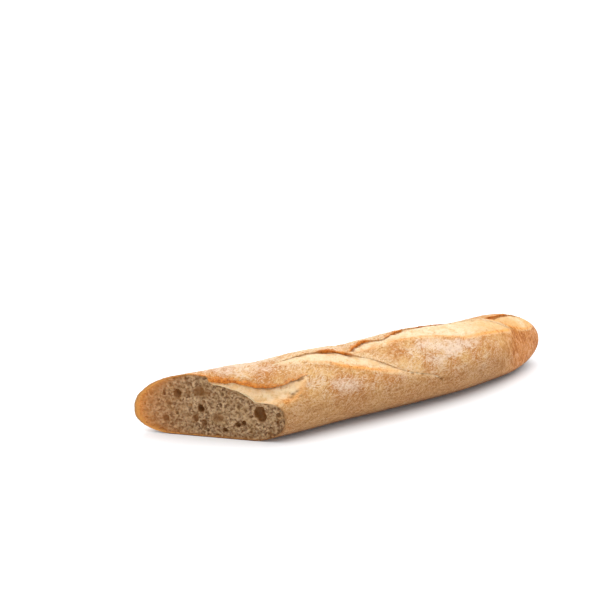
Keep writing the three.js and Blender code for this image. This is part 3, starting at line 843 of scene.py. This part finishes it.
def press(air, middle, size):
    """Adds one bubble, an ellipsoid, to the grid of air."""
    window = []
    for axis, centre, reach in zip((u_axis, w_axis, z_axis), middle, size):
        start = np.searchsorted(axis, centre - reach - STEP)
        window.append(slice(start, np.searchsorted(axis, centre + reach + STEP)))
    window = tuple(window)
    part = air[window]
    if part.size == 0:
        return
    stretched = sum(((grid[window] - c) / s) ** 2 for grid, c, s in zip((u, w, z), middle, size))
    np.maximum(part, (1 - np.sqrt(stretched)) * min(size) + uneven[window], out=part)


uneven = ROUGH_BUBBLES * (noise(u / 1.9, w / 1.9, z / 1.9) - 0.5)
air = np.full(u.shape, -2.0)
large_air = np.full(u.shape, -2.0)
for along, up, wide, tall, deep in LARGE_BUBBLES:
    press(large_air, (along, LARGE_BEHIND_CUT, up), (wide / 2, min(wide, tall) * deep, tall / 2))
for _ in range(SMALL_BUBBLES):
    radius = SMALL_RADII[0] + SMALL_RADII[1] * chance.random() ** 2.2
    middle = tuple(chance.uniform(*ends) for ends in SMALL_PLACES)
    press(air, middle, tuple(radius * chance.uniform(*SMALL_STRETCH, 3)))
open_air = np.maximum(air, large_air)
print("share of air near the cut:", round(float((open_air[:, 4:8] > 0)[inside[:, 4:8] > 1].mean()), 2))

# %% [markdown]
# Bubbles that no opening reaches would only add hidden faces, so they are filled: starting in front of the
# cut, the open air spreads from grid point to grid point, and what it never reaches becomes bread again.

# %% Keep the air that is open to the cut
empty = (open_air > 0) | (w < cut_rough)
reached = empty & (w < 0)
while True:
    spread = reached.copy()
    for axis in range(3):
        ahead = [slice(None)] * 3
        behind = [slice(None)] * 3
        ahead[axis], behind[axis] = slice(1, None), slice(None, -1)
        spread[tuple(ahead)] |= reached[tuple(behind)]
        spread[tuple(behind)] |= reached[tuple(ahead)]
    spread &= empty
    if (spread == reached).all():
        break
    reached = spread
open_air = np.where((open_air > 0) & ~reached, FILLED, open_air)
solid = np.maximum(bread, open_air)
for axis in range(3):
    padded = np.concatenate([solid.take([0], axis), solid, solid.take([-1], axis)], axis)
    size = solid.shape[axis]
    before, after = (padded.take(range(start, start + size), axis) for start in (0, 2))
    solid = BLUR[0] * before + BLUR[1] * solid + BLUR[2] * after

# %% [markdown]
# The surface is drawn cell by cell. A cell that the surface passes through gets one point, the mean of the
# places where it crosses the cell's edges. Each grid edge that it crosses gets one face, between its four
# cells. The crumb's masks are `rim`, close to the crust, `painted backlight`, the far end, painted orange for
# light that shines through the crust there, `deep`, far behind the cut, painted darker as shade, and `hole`,
# in or beside a large bubble, darker partly for the glossy skin of its walls and partly as painted shade.

# %% Draw the surface of a grid
def surface_of(field):
    """Points (in grid units) and faces where a field crosses zero. Bread is below zero."""
    shape = tuple(n - 1 for n in field.shape)
    total = np.zeros(shape + (3,))
    hits = np.zeros(shape)
    corner = {}
    for bits in range(8):
        offset = tuple((bits >> axis) & 1 for axis in range(3))
        corner[offset] = field[tuple(slice(o, o + n) for o, n in zip(offset, shape))]
    for axis in range(3):
        for offset, value in corner.items():
            if offset[axis]:
                continue
            end = tuple(1 if i == axis else o for i, o in enumerate(offset))
            crosses = (value < 0) != (corner[end] < 0)
            share = np.where(crosses, value / np.where(crosses, value - corner[end], 1), 0)
            for i in range(3):
                total[..., i] += np.where(crosses, share if i == axis else offset[i], 0)
            hits += crosses
    used = hits > 0
    number = np.full(shape, -1)
    number[used] = np.arange(used.sum())
    points = np.argwhere(used) + total[used] / hits[used][:, None]
    quads = []
    for axis in range(3):
        first, second = (axis + 1) % 3, (axis + 2) % 3
        near = field[tuple(slice(1, -1) if i != axis else slice(0, -1) for i in range(3))]
        far = field[tuple(slice(1, -1) if i != axis else slice(1, None) for i in range(3))]
        for forward in (True, False):
            spots = np.argwhere((near < 0) & (far >= 0) if forward else (near >= 0) & (far < 0))
            spots += [int(i != axis) for i in range(3)]
            around = []
            for a, b in ((0, 0), (1, 0), (1, 1), (0, 1)):
                cell = spots.copy()
                cell[:, first] -= 1 - a
                cell[:, second] -= 1 - b
                around.append(number[tuple(cell.T)])
            quad = np.stack(around, axis=1)
            quads.append(quad if forward else quad[:, ::-1])
    return points, np.concatenate(quads)


grid_points, grid_faces = surface_of(solid)
crumb_u = u_axis[0] + grid_points[:, 0] * STEP
crumb_w = w_axis[0] + grid_points[:, 1] * STEP
crumb_z = z_axis[0] + grid_points[:, 2] * STEP
crumb_x = crumb_u * math.cos(CUT_ANGLE) + crumb_w * math.sin(CUT_ANGLE)
crumb_y = -crumb_u * math.sin(CUT_ANGLE) + crumb_w * math.cos(CUT_ANGLE)
from_wall = depth_inside(crumb_x, crumb_y, crumb_z)
nearest = tuple(np.clip(np.rint(grid_points).astype(int), 0, np.array(u.shape) - 1).T)
crumb_masks = {
    # The rim beside the crust is wider towards the far end, where it carries the painted light.
    "rim": np.exp(-np.maximum(from_wall, 0) / mix(0.9, 3.0, smooth(-crumb_u, 0, 50))),
    # Painted light: the far end of the crumb, orange for light shining through the crust.
    "painted backlight": smooth(-crumb_u, 8, 60),
    # Painted shade: the crumb far behind the cut, deep inside the holes.
    "deep": smooth(crumb_w, 0.2, 4.0),
    # In and beside a large bubble: darker partly for the glossy skin of its walls, partly as painted shade.
    "hole": smooth(large_air[nearest], -0.5, 0.8),
}
crumb_points = np.stack([crumb_x, crumb_y, crumb_z], axis=1)
crumb = make_mesh("crumb", crumb_points, grid_faces.tolist(), crumb_masks)
face_outwards(crumb)

# %% [markdown]
# ## Materials
# Colours are written as sRGB hex, the way a paint chart gives them, and one function turns them into the
# linear values that the shader wants. One more function adds a node with its settings and links. The table
# above it lists the kinds of node that are used: Blender's name, the settings, the inputs in the order in
# which their values are given, and the output that is read. Every finish below is then a stack of coats, as
# a painter would lay them: a coat shows where some pattern or mask runs from one value to another, up to
# its strength.

# %% Helpers for materials
KINDS = {
    "mask": ("ShaderNodeAttribute", {}, (), "Fac"),
    "where": ("ShaderNodeTexCoord", {}, (), "Object"),
    "unrolled": ("ShaderNodeUVMap", {"uv_map": "skin"}, (), "UV"),
    "drawn out": ("ShaderNodeMapping", {"vector_type": "TEXTURE"}, (0, 1, 2, 3), "Vector"),
    "noise": ("ShaderNodeTexNoise", {}, ("Vector", "Scale", "Detail", "Distortion"), "Fac"),
    "minus": ("ShaderNodeMath", {"operation": "SUBTRACT"}, (0, 1), 0),
    "size": ("ShaderNodeMath", {"operation": "ABSOLUTE"}, (0,), 0),
    "times": ("ShaderNodeMath", {"operation": "MULTIPLY"}, (0, 1), 0),
    "times plus": ("ShaderNodeMath", {"operation": "MULTIPLY_ADD"}, (0, 1, 2), 0),
    "ramp": ("ShaderNodeMapRange", {}, ("Value", "From Min", "From Max", "To Min", "To Max"), "Result"),
    "blend": ("ShaderNodeMix", {"data_type": "FLOAT"}, (0, 2, 3), 0),
    "coat": ("ShaderNodeMix", {"data_type": "RGBA"}, (0, 6, 7), 2),
    "bump": ("ShaderNodeBump", {}, ("Strength", "Distance", "Height"), "Normal"),
    "surface": ("ShaderNodeBsdfPrincipled", {}, (), "BSDF"),
    "output": ("ShaderNodeOutputMaterial", {}, ("Surface",), None),
}


def colour(code):
    """A linear colour from an sRGB hex code such as '#d9a05b'."""
    parts = [int(code[i : i + 2], 16) / 255 for i in (1, 3, 5)]
    return (*[p / 12.92 if p <= 0.04045 else ((p + 0.055) / 1.055) ** 2.4 for p in parts], 1.0)


def add(tree, kind, *values, **settings):
    """Adds a node. Values are numbers, colours or other outputs, in their kind's order or in one dict."""
    title, fixed, inputs, output = KINDS[kind]
    node = tree.nodes.new(title)
    for name, setting in (fixed | settings).items():
        setattr(node, name, setting)
    named = values[0] if values and isinstance(values[0], dict) else dict(zip(inputs, values))
    for name, value in named.items():
        if isinstance(value, bpy.types.NodeSocket):
            tree.links.new(value, node.inputs[name])
        else:
            node.inputs[name].default_value = value
    return node.outputs if output is None else node.outputs[output]


def coats(tree, base, *layers):
    """A stack of colours. A layer is a pattern, where its coat starts and is full, its strength, its colour."""
    for pattern, start, full, strength, tint in layers:
        share = add(tree, "ramp", pattern, start, full, 0.0, strength)
        under, over = [colour(c) if isinstance(c, str) else c for c in (base, tint)]
        base = add(tree, "coat", share, under, over)
    return base


def new_material(name):
    """A material and its tree of nodes, still empty."""
    material = bpy.data.materials.new(name)
    material.use_nodes = True
    material.node_tree.nodes.clear()
    return material, material.node_tree


# %% [markdown]
# ### Crust
# Crust is dough that dried and browned: sugar and protein turn golden, then orange-brown, first on thin
# edges. It is matt with a faint sheen. Flour from the proving cloth sits on the skin in short pale strokes,
# the bare floors stayed cream because they opened late, and the torn faces of the ears baked darkest. The
# masks say which is where. The patterns are noises whose first number counts lumps in a metre, so that 45
# makes lumps of 22 mm, 150 of 7 mm, freckles of 2 mm and a grain of 0.7 mm. The skin's lines are drawn on
# the unrolled skin: 3 to 7 mm long, or 16 mm where they stand upright, and 2 to 3 mm apart. Single grains
# of flour are far finer than that, so only their clusters are drawn.

# %% Crust material
SIDE_LINES = ((-50, 6.5, 2.6, 1, 0.11), (-30, 3.2, 1.6, 2, 0.14), 0.55)
CROSS_LINES = ((-8, 7.0, 2.8, 8, 0.11), (28, 3.0, 1.6, 9, 0.14), 0.55)
END_LINES = ((84, 16, 3.2, 3, 0.12), (-58, 4.0, 1.8, 4, 0.13), 0.45)
FLOOR_LINES = (55, 10, 3.0, 5, 0.14)


def lines(tree, unrolled, slant, length, width, layer, thickness):
    """Lines at a slant in degrees, where a noise drawn out to a length and width in mm has its middle."""
    turn = (0, 0, math.radians(slant))
    drawn_out = add(tree, "drawn out", unrolled, (0, 0, layer), turn, (length * MM, width * MM, 1))
    waves = add(tree, "noise", drawn_out, 1.0, 2.0, 0.6)
    return add(tree, "ramp", add(tree, "size", add(tree, "minus", waves, 0.5)), thickness, 0.0)


def crust_material():
    """Baked crust: its patterns first, then the coats of skin, slash floor and cut edge, then the shader."""
    material, tree = new_material("baked crust")
    mask = {title: add(tree, "mask", attribute_name=title) for title in masks}
    where = add(tree, "where")
    unrolled = add(tree, "unrolled")
    broad = add(tree, "noise", where, 45.0, 3.0)
    middling = add(tree, "noise", where, 150.0, 2.0)
    freckle = add(tree, "noise", where, 450.0, 4.0)
    grain = add(tree, "noise", where, 1500.0, 2.0)
    side, cross, end = (
        add(tree, "blend", share, lines(tree, unrolled, *long), lines(tree, unrolled, *short))
        for long, short, share in (SIDE_LINES, CROSS_LINES, END_LINES)
    )
    side = add(tree, "blend", add(tree, "ramp", middling, 0.44, 0.56), side, cross)
    stroke = add(tree, "blend", mask["upright"], side, end)
    stroke = add(tree, "blend", 0.25, stroke, add(tree, "ramp", grain, 0.3, 0.7))
    string = add(tree, "blend", 0.5, lines(tree, unrolled, *FLOOR_LINES), stroke)
    string = add(tree, "blend", 0.4, string, mask["crest"])
    loose = add(tree, "blend", 0.5, stroke, middling)
    dust = add(tree, "ramp", add(tree, "times plus", mask["flour"], 0.5, loose), 0.6, 1.0)
    gilded = add(tree, "times", mask["baked"], add(tree, "ramp", broad, 0.2, 0.5))
    fringe = add(tree, "times plus", stroke, 0.4, mask["bare"])

    golden = coats(
        tree, "#d2a264",
        (broad, 0.4, 0.6, 1.0, "#ba7a3a"),
        (stroke, 0.36, 0.08, 0.75, "#a06830"),
        (stroke, 0.45, 0.8, 0.45, "#dfbc8c"),
        (freckle, 0.56, 0.72, 0.45, "#a9622a"),
    )
    skin = coats(
        tree, golden,
        (mask["browned"], 0.0, 1.0, 1.0, coats(tree, "#9c5520", (stroke, 0.1, 0.6, 1.0, "#c87e36"))),
        (dust, 0.0, 1.0, 0.72, "#e8d5c2"),
        # Painted shade: the lower side darker, where less light reaches it.
        (mask["shaded lower side"], 0.0, 1.0, 0.75, coats(tree, "#84532a", (stroke, 0.1, 0.7, 1.0, "#ac7c4a"))),
        (mask["pale"], 0.0, 1.0, 0.75, coats(tree, "#cf9e5c", (stroke, 0.1, 0.6, 1.0, "#ebd2aa"))),
        # Painted light: orange at the far end of the cut, for light shining through the thin crust.
        (mask["painted backlight"], 0.0, 1.0, 0.7, "#e3a25a"),
        # The underside: partly real browning from the hot stone, partly painted shadow where the loaf meets the
        # table.
        (mask["under"], 0.0, 1.0, 1.0, coats(tree, "#84522a", (broad, 0.3, 0.7, 1.0, "#63391a"))),
    )
    floor_of_slash = coats(
        tree, "#c8985e",
        (string, 0.12, 0.5, 1.0, "#f2e0c0"),
        (middling, 0.47, 0.65, 0.5, "#dfa85c"),
        (freckle, 0.55, 0.7, 0.5, "#a98442"),
        (gilded, 0.0, 1.0, 1.0, coats(tree, "#a8692a", (string, 0.1, 0.5, 1.0, "#e0aa60"))),
    )
    cut_edge = coats(
        tree, "#9a683a",
        (freckle, 0.4, 0.6, 1.0, "#b98a58"),
        # Painted light: the cut edge orange at the far end, for light shining through the crust.
        (mask["painted backlight"], 0.0, 1.0, 1.0, "#dc964a"),
        (mask["bare"], 0.0, 1.0, 1.0, "#f2dcae"),
    )
    final = coats(
        tree, skin,
        (fringe, 0.16, 1.16, 0.85, floor_of_slash),
        (mask["golden lip"], 0.0, 1.0, 0.9, coats(tree, "#c8721f", (stroke, 0.15, 0.6, 1.0, "#eca650"))),
        (mask["torn"], 0.0, 1.0, 1.0, coats(tree, "#ea943a", (freckle, 0.4, 0.66, 1.0, "#ae5512"))),
        # Painted shade: darker in the hollow at the foot of each ear.
        (mask["hollow_shade"], 0.0, 1.0, 0.25, "#946428"),
        # Painted shade: darker in the small pits, by their depth.
        (mask["pit shade"], 0.0, 1.0, 0.7, "#85561c"),
        (mask["ring"], 0.0, 1.0, 1.0, cut_edge),
    )

    bumps = add(tree, "times plus", freckle, 0.5, add(tree, "times", stroke, 0.8))
    bumps = add(tree, "times plus", grain, 0.2, bumps)
    surface = add(tree, "surface", {
        "Base Color": final, "Roughness": add(tree, "times plus", dust, 0.2, 0.62), "IOR": 1.45,
        "Specular IOR Level": 0.3, "Subsurface Weight": 0.1, "Subsurface Radius": (1.0, 0.5, 0.25),
        "Subsurface Scale": 1.5 * MM, "Normal": add(tree, "bump", 0.8, 0.8 * MM, bumps),
    })
    add(tree, "output", surface)
    print(material.name, "nodes:", len(tree.nodes))
    return material


crust.data.materials.append(crust_material())

# %% [markdown]
# ### Crumb
# Crumb is set foam of starch and gluten: cream white, soft, and light goes a few millimetres into it, so it
# needs subsurface scattering. Its tones here are kept far darker than cream, as painted shade for the cut,
# which faces away from the sun. Next to the crust it turns tan, and the walls of the large holes are darker
# and a little glossy, like a skin; they and the crumb far behind the cut are darkened further as painted
# shade. At the far end it turns orange: painted light, shining through the crust. It is mottled in specks of
# 2 mm and patches of 8 mm.

# %% Crumb material
def crumb_material():
    """Set foam in two tones darkened as painted shade, darker still in its holes and far back, tan beside the
    crust and orange as painted light at the far end.
    """
    material, tree = new_material("open crumb")
    mask = {title: add(tree, "mask", attribute_name=title) for title in crumb_masks}
    where = add(tree, "where")
    mottle = add(tree, "noise", where, 500.0, 3.0)
    broad = add(tree, "noise", where, 130.0, 2.0)
    # Painted shade: the crumb's tones are kept far darker than its cream, since the cut faces away from the
    # sun.
    final = coats(
        tree, "#6e4d30",
        (mottle, 0.36, 0.6, 1.0, "#bf9f79"),
        (broad, 0.45, 0.65, 0.4, "#93703f"),
        # Painted shade: darker far behind the cut, deep inside the holes.
        (mask["deep"], 0.0, 1.0, 0.8, "#6f4415"),
        # Darker in the large holes: partly the walls' own glossy skin, partly painted shade.
        (mask["hole"], 0.0, 1.0, 0.6, "#90591c"),
        # Painted light: orange at the far end, for light shining through the crust.
        (mask["painted backlight"], 0.0, 1.0, 0.5, "#bb7840"),
        # Tan beside the crust, turning orange at the far end as painted light.
        (mask["rim"], 0.0, 1.0, 0.85, coats(tree, "#a06c38", (mask["painted backlight"], 0.0, 1.0, 1.0, "#dc8f42"))),
    )
    surface = add(tree, "surface", {
        "Base Color": final, "Roughness": 0.62, "IOR": 1.4, "Specular IOR Level": 0.3,
        "Subsurface Weight": 0.3, "Subsurface Radius": (1.0, 0.6, 0.35), "Subsurface Scale": 2.5 * MM,
        "Normal": add(tree, "bump", 0.6, 0.6 * MM, mottle),
    })
    add(tree, "output", surface)
    print(material.name, "nodes:", len(tree.nodes))
    return material


crumb.data.materials.append(crumb_material())

# %% [markdown]
# ## Flour and flakes
# Flour from the proving cloth clings to the skin in small clumps, and the torn ears carry crisp flakes of
# crust. Thousands of small pieces that follow a surface are a job for Geometry Nodes: points are strewn on
# the crust, as densely as one of its masks says, and each carries a copy of one small grain, turned and
# sized by chance. Real flour is far finer than these clumps of 0.25 to 0.6 mm, which are as small as the
# picture can show. The flakes are as large as real ones, 0.6 to 1.7 mm.

# %% A tree of nodes that strews grains on a mask
KINDS |= {
    "given": ("NodeGroupInput", {}, (), None),
    "amount": ("GeometryNodeInputNamedAttribute", {"data_type": "FLOAT"}, ("Name",), "Attribute"),
    "strewn": ("GeometryNodeDistributePointsOnFaces", {}, ("Mesh", "Density", "Seed"), "Points"),
    "any size": ("FunctionNodeRandomValue", {"data_type": "FLOAT"}, (2, 3, "Seed"), 1),
    "any turn": ("FunctionNodeRandomValue", {"data_type": "FLOAT_VECTOR"}, (0, 1, "Seed"), 0),
    "rotation": ("FunctionNodeEulerToRotation", {}, ("Euler",), "Rotation"),
    "object": ("GeometryNodeObjectInfo", {}, ("Object",), "Geometry"),
    "copies": ("GeometryNodeInstanceOnPoints", {}, ("Points", "Instance", "Rotation", "Scale"), "Instances"),
    "real": ("GeometryNodeRealizeInstances", {}, ("Geometry",), "Geometry"),
    "finished": ("GeometryNodeSetMaterial", {}, ("Geometry", "Material"), "Geometry"),
    "result": ("NodeGroupOutput", {}, ("Grains",), None),
}


def scatter_tree():
    """The nodes that turn the crust into grains strewn on it."""
    tree = bpy.data.node_groups.new("strew grains on a mask", "GeometryNodeTree")
    sockets = {
        "Crust": "Geometry", "Mask": "String", "Grain": "Object", "Grains per square metre": "Float",
        "Smallest": "Float", "Largest": "Float", "Seed": "Int", "Finish": "Material",
    }
    for title, kind in sockets.items():
        tree.interface.new_socket(title, in_out="INPUT", socket_type="NodeSocket" + kind)
    tree.interface.new_socket("Grains", in_out="OUTPUT", socket_type="NodeSocketGeometry")
    given = add(tree, "given")
    seed = given["Seed"]
    density = add(tree, "times", add(tree, "amount", given["Mask"]), given["Grains per square metre"])
    strewn = add(tree, "strewn", given["Crust"], density, seed)
    turn = add(tree, "any turn", (0, 0, 0), (math.tau, math.tau, math.tau), seed)
    size = add(tree, "any size", given["Smallest"], given["Largest"], seed)
    grain = add(tree, "object", given["Grain"])
    copies = add(tree, "copies", strewn, grain, add(tree, "rotation", turn), size)
    add(tree, "result", add(tree, "finished", add(tree, "real", copies), given["Finish"]))
    return tree


# %% [markdown]
# Flour is a fully matt white powder that looks buff where it was baked on. Flakes of crust are brittle and
# orange-brown, with a little more sheen. Both are in two tones, in patches of a millimetre.

# %% Strew flour and flakes
def small_grain(name, flatness):
    """A lump one unit across with 20 faces, uneven and pressed flat."""
    work = bmesh.new()
    bmesh.ops.create_icosphere(work, subdivisions=1, radius=0.5)
    for vertex in work.verts:
        vertex.co *= chance.uniform(0.7, 1.2)
        vertex.co.z *= flatness
    mesh = bpy.data.meshes.new(name)
    work.to_mesh(mesh)
    work.free()
    return bpy.data.objects.new(name, mesh)


def grain_finish(name, dark, light, roughness):
    """A dry finish in two tones."""
    material, tree = new_material(name)
    patch = add(tree, "noise", add(tree, "where"), 1000.0, 2.0)
    tones = coats(tree, dark, (patch, 0.35, 0.65, 1.0, light))
    surface = add(tree, "surface", {"Base Color": tones, "Roughness": roughness, "Specular IOR Level": 0.2})
    add(tree, "output", surface)
    return material


def strew(name, tree, grain, **inputs):
    """A piece of its own: what the tree strews on the crust, as a plain mesh."""
    carrier = bpy.data.objects.new(name + " carrier", crust.data)
    bpy.context.scene.collection.objects.link(carrier)
    modifier = carrier.modifiers.new("strew", "NODES")
    modifier.node_group = tree
    values = {title.replace("_", " "): value for title, value in inputs.items()} | {"Grain": grain}
    for item in tree.interface.items_tree:
        if item.name in values:
            modifier[item.identifier] = values[item.name]
    seen = carrier.evaluated_get(bpy.context.evaluated_depsgraph_get())
    mesh = bpy.data.meshes.new_from_object(seen)
    bpy.data.objects.remove(carrier)
    mesh.name = name
    mesh.materials.clear()
    mesh.materials.append(inputs["Finish"])
    thing = bpy.data.objects.new(name, mesh)
    bpy.context.scene.collection.objects.link(thing)
    print(name, "triangles:", len(mesh.polygons))
    return thing


strewing = scatter_tree()
flour_grains = strew(
    "flour", strewing, small_grain("flour grain", 0.6), Mask="flour", Grains_per_square_metre=220000.0,
    Smallest=0.25 * MM, Largest=0.6 * MM, Seed=3,
    Finish=grain_finish("wheat flour", "#c6ac8a", "#dac6a8", 0.95),
)
flakes = strew(
    "flakes", strewing, small_grain("flake", 0.3), Mask="torn", Grains_per_square_metre=450000.0,
    Smallest=0.6 * MM, Largest=1.7 * MM, Seed=5,
    Finish=grain_finish("toasted flakes of crust", "#b0651f", "#e6994a", 0.6),
)

# %% [markdown]
# ## Camera
# The camera stands 1.2 m away, 20 degrees above the table and 31 degrees round from the loaf's side, with a
# long lens, so the loaf runs away to the right and its cut faces us. It looks past the loaf: the middle of
# its view is to the right of the cut and above it.

# %% Camera
TURN = math.radians(30.9)
LOOK_DOWN = math.radians(20.03)
DISTANCE = 1200.0
VIEW_RIGHT = 64.57
VIEW_UP = 101.24
FOCAL_LENGTH = 97.73
SENSOR_WIDTH = 36.0
level = math.cos(LOOK_DOWN)
right = np.array([math.cos(TURN), -math.sin(TURN), 0.0])
forward = np.array([math.sin(TURN) * level, math.cos(TURN) * level, -math.sin(LOOK_DOWN)])
upward = np.cross(right, forward)
eye = right * VIEW_RIGHT + upward * VIEW_UP - forward * DISTANCE + to_frame
camera_data = bpy.data.cameras.new("camera")
camera_data.sensor_width = SENSOR_WIDTH
camera_data.lens = FOCAL_LENGTH
camera_data.clip_end = 50.0
camera = bpy.data.objects.new("camera", camera_data)
turned = Matrix([right, upward, -forward]).transposed().to_4x4()
camera.matrix_world = Matrix.Translation(Vector(eye * MM)) @ turned
bpy.context.scene.collection.objects.link(camera)
bpy.context.scene.camera = camera
print("camera, mm:", eye.round(0))

# %% [markdown]
# ## Floor and light
# A plain white sheet lies under the loaf. The light is that of a white studio: one very wide, soft sun
# almost overhead, which leaves a soft shadow close round the loaf, and a white room that fills it. The
# upright cut turns away from the sun, so it is in shade.

# %% Floor and lights
FLOOR_REACH = 20.0
SUN_STRENGTH = 2.55
SUN_WIDTH = math.radians(85)
TO_SUN = Vector((0.22, 0.08, 0.97))
ROOM_STRENGTH = 0.76
corners = [(FLOOR_REACH * x, FLOOR_REACH * y, 0) for x, y in ((-1, -1), (1, -1), (1, 1), (-1, 1))]
floor_mesh = bpy.data.meshes.new("floor")
floor_mesh.from_pydata(corners, [], [(0, 1, 2, 3)])
floor = bpy.data.objects.new("floor", floor_mesh)
bpy.context.scene.collection.objects.link(floor)
paper, paper_tree = new_material("white paper")
add(paper_tree, "output", add(paper_tree, "surface", {"Base Color": colour("#f5f6f8"), "Roughness": 0.9}))
floor_mesh.materials.append(paper)

sun = bpy.data.lights.new("soft sun", "SUN")
sun.energy = SUN_STRENGTH
sun.angle = SUN_WIDTH
lamp = bpy.data.objects.new("soft sun", sun)
lamp.rotation_euler = TO_SUN.to_track_quat("Z", "Y").to_euler()
bpy.context.scene.collection.objects.link(lamp)
room = bpy.data.worlds.new("room")
room.use_nodes = True
room.node_tree.nodes["Background"].inputs["Color"].default_value = colour("#ffffff")
room.node_tree.nodes["Background"].inputs["Strength"].default_value = ROOM_STRENGTH
bpy.context.scene.world = room
bpy.context.scene.view_settings.view_transform = "Standard"
print("sun:", SUN_STRENGTH, "room:", ROOM_STRENGTH)

# %% [markdown]
# ## Attach the pieces
# The four pieces ride on the loaf's one body and together stand for its imported solid.

# %% Finish
for piece in (crust, crumb, flour_grains, flakes):
    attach(piece, "root")
    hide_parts("baguette")
